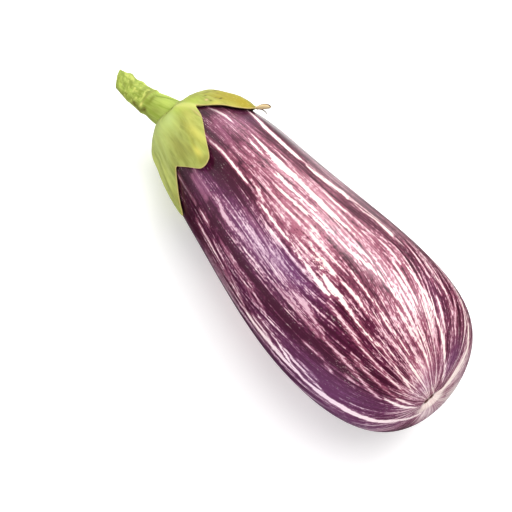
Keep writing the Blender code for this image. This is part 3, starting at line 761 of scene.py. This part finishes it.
# The stem's middle line: the seat on the calyx and how it leans, the joint, how far along it is, the tip
SEAT = (-2.1 * MM, -11.8 * MM, 0.5 * MM)
SEAT_TURN = math.radians(7)
SEAT_LEAN = math.radians(23)
SEAT_RADIUS = 6.0 * MM
SEAT_SHOULDER = 1.8 * MM
STEM_JOINT = (-12.4 * MM, -15.1 * MM, 2.3 * MM)
JOINT_AT = 0.43
STEM_TIP = (-26.2 * MM, -18.3 * MM, 5.5 * MM)
CALYX_AROUND = 480
CALYX_RINGS = 110
RIM_CROWDING = 0.8
RIM_PAINT = (0.1 * MM, 0.6 * MM)
RIM_PAINT_STARTS = (8 * MM, 12 * MM)
# The calyx's patches of tone: angle in degrees, length in mm, spread as the same, and amount
CALYX_TONES = {
    "lime": ((90, 20, 20, 6, 0.9), (66, 24, 10, 4, 0.5)),
    # Pale grey-green patches: a painted highlight where the light falls on the upper left
    "pale": (
        (101, 23, 9, 5, 1.0), (117, 22, 10, 8, 0.55), (135, 22, 12, 10, 0.45), (128, 34, 6, 6, 0.3),
        (106, 34, 2.5, 6, 0.4),
    ),
    "yellow": (
        (100.5, 47.3, 2.4, 3.0, 1.0), (92, 40, 5, 8, 0.6), (59, 33, 8, 1.8, 0.7), (45, 37.5, 10, 1.6, 0.6),
        (84, 30, 5, 6, 0.3),
    ),
    # Olive patches: dull green skin, and painted shade at the lobe tips and low in the middle
    "olive_and_shade": (
        (85, 27.4, 4, 3, 0.5), (89, 36, 4, 4, 0.35), (111, 39, 8, 9, 0.8), (100, 52.5, 8, 2.2, 0.8),
        (104, 45, 2.2, 5, 0.6), (96, 29, 2.5, 6, 0.4), (148, 50, 6, 5, 0.7), (60, 22, 9, 1.6, 0.5),
        (125, 40, 4, 6, 0.4), (200, 34, 20, 10, 0.5),
    ),
    "ochre": ((30, 39, 10, 4, 1.0), (42, 32, 14, 8, 0.7), (20, 28, 20, 8, 0.6), (222, 42, 14, 5, 0.4)),
    "brown": (
        (54, 25.8, 1.8, 0.5, 1.0), (47, 31.1, 2.0, 0.45, 1.0), (50, 29.6, 1.3, 0.4, 0.8),
        (57.5, 30.2, 1.2, 0.45, 0.7), (46, 23.6, 6, 0.8, 0.5), (35, 24.6, 3, 0.6, 0.7),
        (40, 27, 1.5, 0.4, 0.5), (26, 40.8, 3, 0.9, 0.6), (232, 30, 1.5, 0.5, 0.6), (300, 33, 1.4, 0.5, 0.6),
    ),
    "pink": ((59, 28.4, 1.4, 0.6, 1.0), (77, 32, 1.2, 5, 0.5)),
}
# Its ground of two greens, and the colours laid over it in turn, in steps of 255, with their strength. The
# # layer on raised ridges is a painted highlight; the layers on creases and on the underside are painted
# shade.
CALYX_GREENS = ((132, 140, 62), (166, 174, 86))
CALYX_LAYERS = {
    "fibres": ((186, 192, 110), 0.3), "lime": ((172, 190, 76), 1), "pale": ((182, 198, 116), 0.9),
    "raised": ((190, 196, 104), 2.2), "olive_and_shade": ((136, 136, 60), 1), "creased": ((136, 136, 46), 2.2),
    "yellow": ((204, 196, 92), 1), "ochre": ((158, 142, 34), 1), "specks": ((216, 200, 110), 0.4),
    "pink": ((206, 176, 122), 1), "brown": ((84, 72, 20), 1), "rim": ((196, 172, 112), 0.7),
    # The underside against the fruit, painted dark as shade
    "hidden": ((130, 122, 70), 1),
}


def lobe_offset(around, index):
    """How far an angle is from a lobe's tip, as a share of the way to the notch on that side."""
    first, tip, last = (math.radians(at) for at in (LOBES[index][0][0][0], LOBES[index][1][0],
                                                    LOBES[(index + 1) % len(LOBES)][0][0][0]))
    off = turned(around - tip)
    return np.where(off < 0, off / turned(first - tip), off / turned(last - tip))


def lobe_share(offset):
    """How far into a lobe an angle is: a power of a cosine, 1 along its middle, 0 at its notches."""
    return np.cos(np.clip(offset, 0, 1) * np.pi / 2) ** LOBE_BLUNTNESS


def calyx_reach(around):
    """How far the calyx reaches down the fruit: straight from corner to corner of the rim, each corner
    rounded by the mean over a few directions beside it."""
    angles, reaches = np.array(RIM, dtype=float).T
    beside = np.linspace(-1, 1, ROUNDING_STEPS) * CORNER_ROUNDING
    total = sum(np.interp(np.degrees(around + step), angles, reaches, period=360) for step in beside)
    return total * MM / ROUNDING_STEPS


def calyx_lift(around, length):
    """How far the lobes arch off the fruit: a squared sine along each, and a square towards its tip."""
    lift = np.zeros_like(around)
    for index, (_, tip, _, arch, tip_lift) in enumerate(LOBES):
        along = np.clip((length - LIFT_STARTS) / (tip[1] * MM - LIFT_STARTS), 0, 1)
        hump = arch * np.sin(np.pi * along ** LIFT_PEAK) ** 2 + tip_lift * along ** 2
        lift = lift + hump * MM * lobe_share(lobe_offset(around, index))
    return lift


def calyx_ridges(around, length, sign):
    """The sum of its raised lines, or of its creases, each a bell across and fading at both ends."""
    total = np.zeros_like(around)
    for first, start, last, stop, height, wide in RIDGES:
        middle = np.interp(length / MM, (start, stop), (first, last))
        across = bump(0, math.radians(wide), turned(around - np.radians(middle)))
        along = ease(start - RIDGE_ENDS, start + RIDGE_ENDS, length / MM)
        along = along * (1 - ease(stop - RIDGE_ENDS, stop + RIDGE_ENDS, length / MM))
        total = total + max(height * sign, 0) * across * along
    return total


def calyx_relief(around, length):
    """The dips beside the stem, ridges and creases towards the rim, and fine folds between them: a
    swaying sine round the calyx, times a cosine that turns along it."""
    lines = calyx_ridges(around, length, 1) - calyx_ridges(around, length, -1)
    dips = patches(DIPS, around, length / MM)
    sway, sways = FOLD_SWAY
    folds = np.sin(FOLD_WAVES * around + sway * np.sin(sways * around))
    folds = folds * np.cos(FOLD_CROSSINGS * around + length / FOLD_TURN) * ease(*FOLDS_START, length)
    return (lines - dips) * MM + FOLD_HEIGHT * folds


def stem_line(share):
    """The stem's middle line, a curve through the seat, the joint and the tip, and its direction."""
    seat, joint, tip = np.array(SEAT), np.array(STEM_JOINT), np.array(STEM_TIP)
    control = (joint - (1 - JOINT_AT) ** 2 * seat - JOINT_AT ** 2 * tip) / (2 * JOINT_AT * (1 - JOINT_AT))
    share = np.asarray(share)[..., None]
    place = (1 - share) ** 2 * seat + 2 * share * (1 - share) * control + share ** 2 * tip
    return place, unit(2 * (1 - share) * (control - seat) + 2 * share * (tip - control))


STEM_WAY = stem_line(0.0)[1]
SEAT_WAY = np.array([-math.cos(SEAT_LEAN) * math.cos(SEAT_TURN),
                     -math.cos(SEAT_LEAN) * math.sin(SEAT_TURN), math.sin(SEAT_LEAN)])


def seat_drop(aside):
    """How far the stem's seat falls away beside its middle: a plane that leans on one side only."""
    return np.maximum(aside @ SEAT_WAY / (STEM_WAY @ SEAT_WAY), 0)


def calyx_skins(fold, around):
    """The outer skin for fold from 0 to a quarter turn, the rim, and the inner skin back to pi."""
    share = np.sin(fold)
    reach = CROWN_CIRCLES + (calyx_reach(around) - CROWN_CIRCLES) * ease(*CIRCLES_END, share)
    length = share * reach
    down = down_at(length)
    outer = fold <= np.pi / 2
    flesh = LOBE_FLESH + (CROWN_FLESH - LOBE_FLESH) * (1 - ease(*FLESH_THINS, length))
    half = np.where(outer, 0.5, -0.5) * np.abs(np.cos(fold)) ** RIM_ROUNDING
    lift = GAP + calyx_lift(around, length)
    relief = np.maximum(flesh + calyx_relief(around, length), LEAST_FLESH) - flesh
    height = lift + flesh * (0.5 + half) + np.where(outer, relief, CROWN_GAP * (1 - share))
    place = fruit_skin(down, around) + outward(down, around) * height[..., None]
    seat = np.array(SEAT)
    out = (place - seat) @ STEM_WAY
    aside = place - seat - out[..., None] * STEM_WAY
    above = out + seat_drop(aside)
    off_axis = np.linalg.norm(aside, axis=-1)
    flat = np.where(outer, 1 - ease(SEAT_RADIUS, SEAT_RADIUS + SEAT_SHOULDER, off_axis), 0)
    return place - (flat * above)[..., None] * STEM_WAY, length


def painted(tree, skin, layers, shares):
    """The skin with each layer's colour laid over it in turn, as strong as its share or its mask says."""
    for name, (tone, strength) in layers.items():
        share = shares[name] if name in shares else masks(tree, name)[0]
        skin = blend(times(share, strength), skin, tone)
    return skin


def make_calyx_skin():
    """Leathery green skin: lime by the stem, yellow patches, an ochre lobe with brown marks, a painted
    highlight of pale grey-green on the upper left and along the ridges, and painted shade in the creases, at
    the lobe tips, low in the middle and underneath.
    """
    material, tree = new_material("calyx_skin")
    place = chart(tree, "calyx_chart")
    fibre, fibre_line = grain(place, 12, 9, 1.7, 0.5)
    cloud, _ = grain(place, 6, 5, 6.1, 0.6)
    pores, _ = grain(place, 40, 90, 2.9)
    shares = {"fibres": between(0.80, 1.0, fibre_line),
              "specks": times(*masks(tree, "ochre"), between(0.56, 0.70, pores))}
    skin = painted(tree, blend(between(0.38, 0.62, cloud), *CALYX_GREENS), CALYX_LAYERS, shares)
    height = scaled(fibre, 0.8, times(pores, 0.35))
    dull = {"Specular IOR Level": 0.3}
    return finish_material(material, skin, scaled(cloud, 0.2, 0.48), height, (0.4, 0.25 * MM), dull)


def make_calyx():
    """Rings from the stem's seat out to the rim, closer together there, and fewer of them back inside."""
    outer = np.linspace(0, 1, CALYX_RINGS)[1:] ** RIM_CROWDING * np.pi / 2
    fold, around = ring_grid(np.concatenate([outer, np.pi - outer[-2::-3]]), CALYX_AROUND)
    places, length = calyx_skins(fold, around)
    mesh = skin_mesh("calyx_skin", lie_down(places))
    rim = (1 - ease(*RIM_PAINT, calyx_reach(around) - length)) * ease(*RIM_PAINT_STARTS, length)
    # The raised ridges carry a painted highlight, the creases and the underside painted shade
    keep(mesh, calyx_chart=round_chart(around, length / (100 * MM)), rim=rim,
         raised=calyx_ridges(around, length, 1), creased=calyx_ridges(around, length, -1),
         hidden=np.where(fold > np.pi / 2, 1.0, 0.0), **spread(CALYX_TONES, around, length / MM))
    add_piece("calyx_cap", mesh, make_calyx_skin(), "calyx")


make_calyx()


# The dried tip: the end of one lobe has withered to a papery curl with dark edges, and a thread of it
# hangs loose. Both grow out of the lobe, a little sunk into it.
BLADE_SWELL = 0.8
BLADE_BLUNTNESS = 8
BLADE_CUP = 0.45 * MM
CUPPED_FROM = 0.3
BLADE_RINGS = 40
BLADE_AROUND = 28
# Each one's path as angle on the fruit, length and height, then its half height at the ends, what its
# middle adds to that, and its half thickness, in degrees and mm, then how dark all of it is
DRIED_STRIPS = {
    "dried_tip": (((24, 40.2, 1.7), (24.5, 42.0, 3.2), (23.5, 43.6, 4.9), (22, 45.8, 5.5)),
                  (0.35, 1.0, 0.24), 0.0),
    "dried_thread": (((22, 41.6, 2.0), (21.5, 43.4, 3.2), (22, 44.8, 2.9), (21, 45.8, 2.2)),
                     (0.14, 0.08, 0.14), 0.9),
}
# Its colours, in steps of 255
PAPERY = ((206, 178, 120), (240, 222, 180))
EDGE_BROWN = (112, 72, 34)
EDGE_DARKEST = (46, 28, 20)


def dried_blade(path, halves, share, around):
    """Flat ellipses along a cubic through four places, given as the fruit's angle, length and height: they
    swell by a sine towards the middle, stand on edge, and are cupped by a square across."""
    left = 1 - share
    weights = np.stack([left ** 3, 3 * share * left ** 2, 3 * share ** 2 * left, share ** 3], axis=-1)
    angle, length, height = np.moveaxis(weights @ np.array(path, dtype=float), -1, 0)
    angle, down = np.radians(angle), down_at(length * MM)
    up = outward(down, angle)
    side = np.cross(up, outward(down, angle + np.pi / 2))
    side = unit(np.cross(up, np.cross(side, up)))
    sideways = np.cross(up, side)
    ends, swell, thick = halves
    half = (ends + swell * np.sin(np.pi * share) ** BLADE_SWELL) * MM
    fill = np.sqrt(np.clip(1 - (2 * share - 1) ** BLADE_BLUNTNESS, 0, 1))
    tall = half * fill * np.cos(around)
    cup = BLADE_CUP * (tall / (half + 1e-9)) ** 2 * (half / MM > CUPPED_FROM)
    deep = thick * MM * fill * np.sin(around) + cup
    middle = fruit_skin(down, angle) + up * (height * MM)[..., None]
    return middle + up * tall[..., None] + sideways * deep[..., None]


def make_dried_skin():
    """Papery cream, with dark brown edges and ends, and fine fibres along it."""
    material, tree = new_material("dried_skin")
    fibre, _ = grain(chart(tree, "blade_chart"), 4, 3, 5.2, 0.4)
    dark = sums("ADD", *masks(tree, "edge"), scaled(fibre, 0.9, -0.45))
    skin = blend(between(0.25, 0.75, dark), blend(fibre, *PAPERY), EDGE_BROWN)
    skin = blend(between(0.75, 1.05, dark), skin, EDGE_DARKEST)
    return finish_material(material, skin, scaled(fibre, 0.2, 0.65), fibre, (0.5, 0.2 * MM), {})


def make_dried_tip():
    """The blade and its thread, each closed at both ends, darker along both edges and towards the end."""
    material = make_dried_skin()
    for name, (path, halves, darkness) in DRIED_STRIPS.items():
        share, around = ring_grid(np.linspace(0, 1, BLADE_RINGS + 2)[1:-1], BLADE_AROUND)
        mesh = skin_mesh(name, lie_down(dried_blade(path, halves, share, around)))
        edge = np.maximum(ease(0.3, 1.0, np.cos(around)), 0.6 * ease(0.7, 1.0, -np.cos(around)))
        edge = np.maximum(edge + 0.4 * ease(0.7, 1, share), darkness)
        keep(mesh, blade_chart=round_chart(around, share), edge=edge)
        add_piece(name, mesh, material, None)


make_dried_tip()


# The stem: the stalk it hung by, fibrous and five-sided, cut across with shears. A swollen joint rings
# it halfway, its foot spreads on the calyx, and the outer half is lumpy and blotched.
STEM_RADII = (6.8 * MM, 5.3 * MM, 4.8 * MM, 3.6 * MM)
PAST_JOINT = 0.7
JOINT_HEIGHT = 0.35 * MM
JOINT_WIDTH = 0.035
JOINT_WAIST = (0.28, 0.07)
RING_AT = 0.366
RING_SLANT = 0.021
RING_PAINT = 0.014
OUTER_HALF = (0.01, 0.06)
GROOVE_LINE = ((0, 0.25), (11, 52))
GROOVE_WIDTH = 6
GROOVE_DEPTH = 0.45 * MM
GROOVE_ENDS = (0.24, 0.32)
GROOVE_PAINT_ENDS = (0.24, 0.30)
STEM_FLUTES = 5
STEM_FLUTE_DEPTH = 0.2 * MM
# Lumps: their height, and the waves round and along the stem of a sine and a cosine
STEM_LUMP = 0.2 * MM
LUMP_WAVES = ((3, 14), (2, 17))
# The stem's knots: share along it, angle round it, height in mm, spread along it and round it
KNOTS = ((0.80, 8, 0.9, 0.055, 0.7), (0.62, 0, 0.5, 0.05, 0.6), (0.46, 200, 0.25, 0.03, 0.35),
         (0.93, 30, 0.3, 0.04, 0.5))
CUT_SLANT = math.radians(29)
CUT_FROM = 0.55
CUT_FILLS = 0.96
STEM_AROUND = 200
STEM_RINGS = 240
CAP_SHARE = 0.1
FOOT_SINKS = 0.8 * MM
FOOT_SHARE = 0.3
# The stem's patches of tone: angle in degrees, share along it in hundredths, spread as the same, amount.
# # The lighter patches are painted light where the light falls on the stem, and the shade patches are painted
# # shade, as under its ring.
STEM_TONES = {
    # Lighter patches: painted light where the light falls on the stem
    "painted_light": (
        (12, 22, 22, 14, 0.9), (62, 10, 22, 9, 0.5), (20, 62, 40, 8, 0.4), (20, 84, 24, 5, 0.5),
        (110, 92, 16, 5, 0.7), (100, 66, 14, 5, 0.5), (110, 44, 10, 3, 0.3), (200, 60, 40, 10, 0.5),
        (280, 40, 40, 14, 0.5),
    ),
    "shade": (
        (72, 38, 30, 1.6, 0.6), (105, 31.4, 14, 3, 0.4), (56, 74, 14, 4, 0.3), (52, 42, 22, 3.5, 0.8),
        (80, 27.5, 26, 3, 0.8), (70, 72, 16, 5, 0.4), (84, 56, 14, 6, 0.3), (146, 80, 12, 20, 0.7),
        (150, 20, 14, 20, 0.6), (126, 72, 8, 4, 0.7), (128, 58, 8, 4, 0.6), (96, 97, 30, 3, 0.7),
        (112, 14, 12, 7, 0.5), (250, 70, 30, 12, 0.6), (320, 25, 30, 8, 0.5),
    ),
    "brown": ((140, 51, 12, 4, 0.9), (134, 30, 10, 4, 1.0), (150, 40, 14, 12, 0.7), (230, 33, 20, 2.5, 0.7)),
    "knob": ((123, 38, 9, 2.2, 1.0),),
}
# Its ground of two greens, and the colours laid over it in turn, in steps of 255, with their strength.
# # The lighter layer over the lit parts is painted light, and the shade layer is painted shade.
STEM_GREENS = ((132, 150, 54), (158, 172, 82))
STEM_LAYERS = {
    "painted_light": ((186, 204, 94), 1), "shade": ((112, 120, 38), 1), "light_mottle": ((198, 202, 106), 0.7),
    "dark_mottle": ((118, 128, 44), 0.5), "groove": ((122, 142, 44), 1), "ring": ((142, 142, 66), 0.75),
    "brown": ((86, 78, 12), 1), "knob": ((206, 206, 110), 1), "cut": ((150, 152, 92), 1),
}


def from_ring(share, around):
    """How far past the slanting ring of the joint a place is, as a share of the stem's length."""
    return share - RING_AT + RING_SLANT * np.cos(around)


def groove_share(share, around, ends):
    """How far in the groove from the joint to the foot a place is: a bell round its line, that ends."""
    off = np.degrees(turned(around)) - np.interp(share, *GROOVE_LINE)
    return bump(0, GROOVE_WIDTH, off) * (1 - ease(*ends, share))


def stem_radius(share, around):
    """The stem's girth: straight lines between four radii, a ring at the joint, flutes, lumps, knots and
    a groove along the inner part."""
    taper = np.interp(share, (0, JOINT_AT, PAST_JOINT, 1), STEM_RADII)
    ring = JOINT_HEIGHT * (bump(0, JOINT_WIDTH, from_ring(share, around)) - bump(*JOINT_WAIST, share))
    flutes = STEM_FLUTE_DEPTH * np.cos(STEM_FLUTES * around)
    (sine_round, sine_along), (cosine_round, cosine_along) = LUMP_WAVES
    lumps = STEM_LUMP * np.sin(sine_round * around + sine_along * share)
    lumps = lumps * np.cos(cosine_round * around + cosine_along * share)
    knots = sum(height * MM * bump(at, long, share) * bump(0, wide, turned(around - math.radians(angle)))
                for at, angle, height, long, wide in KNOTS)
    groove = GROOVE_DEPTH * groove_share(share, around, GROOVE_ENDS)
    return taper + ring + flutes + lumps * ease(JOINT_AT, PAST_JOINT, share) + knots - groove


def stem_skin(fold, around):
    """The foot, the side and the slanting cut end, each a stretch of fold from 0 to pi."""
    cap = CAP_SHARE * np.pi
    share = np.clip((fold - cap) / (np.pi - 2 * cap), 0, 1)
    fill = np.clip(np.minimum(fold, np.pi - fold) / cap, 0, 1)
    place, way = stem_line(share)
    over = unit(np.cross(np.array([0, 1, 0]), way))
    beside = np.cross(way, over)
    radius = (stem_radius(share, around) * fill)[..., None]
    turn = around[..., None]
    ring = radius * (np.cos(turn) * beside + np.sin(turn) * over)
    slant = math.tan(CUT_SLANT) * ease(CUT_FROM, 1, share)[..., None] * radius * np.cos(turn) * way
    foot = (FOOT_SINKS + seat_drop(ring)) * (1 - ease(0, FOOT_SHARE, share))
    return place + GAP * STEM_WAY - foot[..., None] * STEM_WAY + ring + slant, share, fill


def make_stem_skin():
    """Fibrous green skin, softly mottled past the joint, brown beside its ring, and a pale pithy cut, with
    painted light where the light falls and painted shade.
    """
    material, tree = new_material("stem_skin")
    place = chart(tree, "stem_chart")
    outer, brown = masks(tree, "outer_half", "brown")
    fibre, _ = grain(place, 6, 4, 0.6, 0.4)
    blotch, _ = grain(place, 2.0, 13, 4.2, 0.4)
    pores, _ = grain(place, 9, 40, 8.2)
    shares = {"light_mottle": times(outer, between(0.50, 0.66, blotch)),
              "dark_mottle": times(outer, between(0.50, 0.36, blotch)),
              "brown": times(brown, between(0.20, 0.50, pores))}
    skin = painted(tree, blend(between(0.30, 0.70, fibre), *STEM_GREENS), STEM_LAYERS, shares)
    height = scaled(fibre, 0.8, times(pores, 0.5))
    dull = {"Specular IOR Level": 0.3}
    return finish_material(material, skin, scaled(blotch, 0.3, 0.45), height, (0.5, 0.3 * MM), dull)


def make_stem():
    """The stem's rings, evenly along it."""
    fold, around = ring_grid(np.linspace(0, np.pi, STEM_RINGS + 2)[1:-1], STEM_AROUND)
    places, share, fill = stem_skin(fold, around)
    mesh = skin_mesh("stem_skin", lie_down(places))
    past = from_ring(share, around)
    keep(mesh, stem_chart=round_chart(around, share), outer_half=ease(*OUTER_HALF, past),
         ring=bump(0, RING_PAINT, past), groove=groove_share(share, around, GROOVE_PAINT_ENDS),
         cut=np.where((share >= 1) & (fill < CUT_FILLS), 1.0, 0.0), **spread(STEM_TONES, around, 100 * share))
    add_piece("cut_stem", mesh, make_stem_skin(), "stem")


make_stem()


# The picture: a camera that looks down on the fruit from the side that shows, a white floor, a long
# soft light at the fruit's upper flank, a broad light overhead and one from the lower left. The glossy
# skin mirrors a pattern of light and dark that is fixed in the room.
VIEW_TURN = math.radians(50.26)
VIEW_LEAN = math.radians(24)
VIEW_DISTANCE = 700 * MM
CROWN_IN_VIEW = (-25.9 * MM, 64.5 * MM, 0)
LENS = 120
SENSOR = 36
FLOOR_RADIUS = 4
# Each light's direction (right, up, towards the view), its distance, width and height in metres, its
# power in watts, and whether the skin mirrors it
LIGHTS = {
    "long_soft_light": ((0.35, 0.80, 0.48), 0.9, (0.9, 0.35), 4.8, True),
    "overhead_light": ((0.25, 0.45, 1.0), 1.2, (0.8, 0.8), 7.5, False),
    "fill_light": ((-0.85, -0.75, 0.7), 1.2, (0.9, 0.9), 7.5, False),
}

along_fruit = np.array([math.cos(VIEW_TURN) * math.cos(VIEW_LEAN),
                        -math.sin(VIEW_TURN) * math.cos(VIEW_LEAN), math.sin(VIEW_LEAN)])
across_fruit = np.array([math.sin(VIEW_TURN), math.cos(VIEW_TURN), 0])
VIEW_AXES = LYING @ np.stack([along_fruit, across_fruit, np.cross(along_fruit, across_fruit)])
VIEW_PLACE = LYING_PLACE + VIEW_AXES @ (np.array([0, 0, VIEW_DISTANCE]) - np.array(CROWN_IN_VIEW))

lens = bpy.data.cameras.new("view")
lens.lens = LENS
lens.sensor_width = SENSOR
camera = set_up("view", lens)
camera.matrix_world = Matrix.Translation(Vector(VIEW_PLACE)) @ Matrix(VIEW_AXES.tolist()).to_4x4()
bpy.context.scene.camera = camera
bpy.context.scene.view_settings.view_transform = "Standard"


def room_way(right, up, near):
    """A fixed direction in the room, given as it looks from the photograph's side."""
    return Vector(VIEW_AXES @ np.array((right, up, near))).normalized()


for light_name, (light_way, distance, size, power, mirrored) in LIGHTS.items():
    light = bpy.data.lights.new(light_name, "AREA")
    light.shape = "RECTANGLE"
    light.size, light.size_y = size
    light.energy = power
    lamp = set_up(light_name, light)
    lamp.location = room_way(*light_way) * distance
    lamp.rotation_euler = room_way(*light_way).to_track_quat("Z", "Y").to_euler()
    lamp.visible_glossy = mirrored

world = bpy.data.worlds.new("studio")
bpy.context.scene.world = world
world.use_nodes = True
sky = world.node_tree
sky_way = put(sky, "ShaderNodeTexCoord").outputs["Generated"]
rise = put(sky, "ShaderNodeSeparateXYZ", {"Vector": sky_way}).outputs["Z"]


def toward(right, up, near):
    """How far a place of the sky lies in a fixed direction: the product of the two directions."""
    feeds = {0: sky_way, 1: tuple(room_way(right, up, near))}
    return put(sky, "ShaderNodeVectorMath", feeds, operation="DOT_PRODUCT").outputs["Value"]


upper_left = toward(-0.447, 0.894, 0)
away = toward(0, 0, -1)
off_middle = sums("SQRT", sums("SUBTRACT", 1, times(away, away)))
wall = scaled(between(0.1, 0.75, upper_left), 0.7, 0.1)
wall = times(times(wall, between(0.85, 0.45, rise)), scaled(between(-0.5, 0.15, rise), 0.8, 0.2))
behind = times(between(0.35, 0.5, sums("DIVIDE", upper_left, off_middle)), between(0.6, 0.9, away))
edging = between(0.1, 0.6, sums("DIVIDE", toward(0.97, 0.26, 0), off_middle))
edging = times(edging, between(0.92, 0.985, away))
pattern = scaled(edging, 0.6, scaled(behind, 0.9, wall))
soft = scaled(between(-0.2, 0.45, toward(0.77, 0.64, 0)), 0.3, 0.5)
ray = put(sky, "ShaderNodeLightPath").outputs
strength = times(soft, scaled(ray["Is Glossy Ray"], sums("SUBTRACT", pattern, 1), 1))
strength = sums("MAXIMUM", strength, ray["Is Camera Ray"])
feed(sky.nodes["Background"], {"Strength": strength, "Color": (1, 1, 1, 1)})

floor_mesh = bpy.data.meshes.new("floor")
disc = bmesh.new()
bmesh.ops.create_circle(disc, cap_ends=True, segments=64, radius=FLOOR_RADIUS)
disc.to_mesh(floor_mesh)
disc.free()
floor = set_up("floor", floor_mesh)
paper, sheet = new_material("white_paper")
feeds = {0: put(sheet, "ShaderNodeTexCoord").outputs["Object"]}
from_middle = put(sheet, "ShaderNodeVectorMath", feeds, operation="LENGTH").outputs["Value"]
sheen = scaled(between(0.15, 0.9, from_middle), 0.75, 0.25)
feed(sheet.nodes["Principled BSDF"], {"Base Color": (0.9, 0.9, 0.9, 1), "Roughness": 0.8,
                                      "Emission Color": (1, 1, 1, 1), "Emission Strength": sheen})
floor_mesh.materials.append(paper)
floor.visible_glossy = False
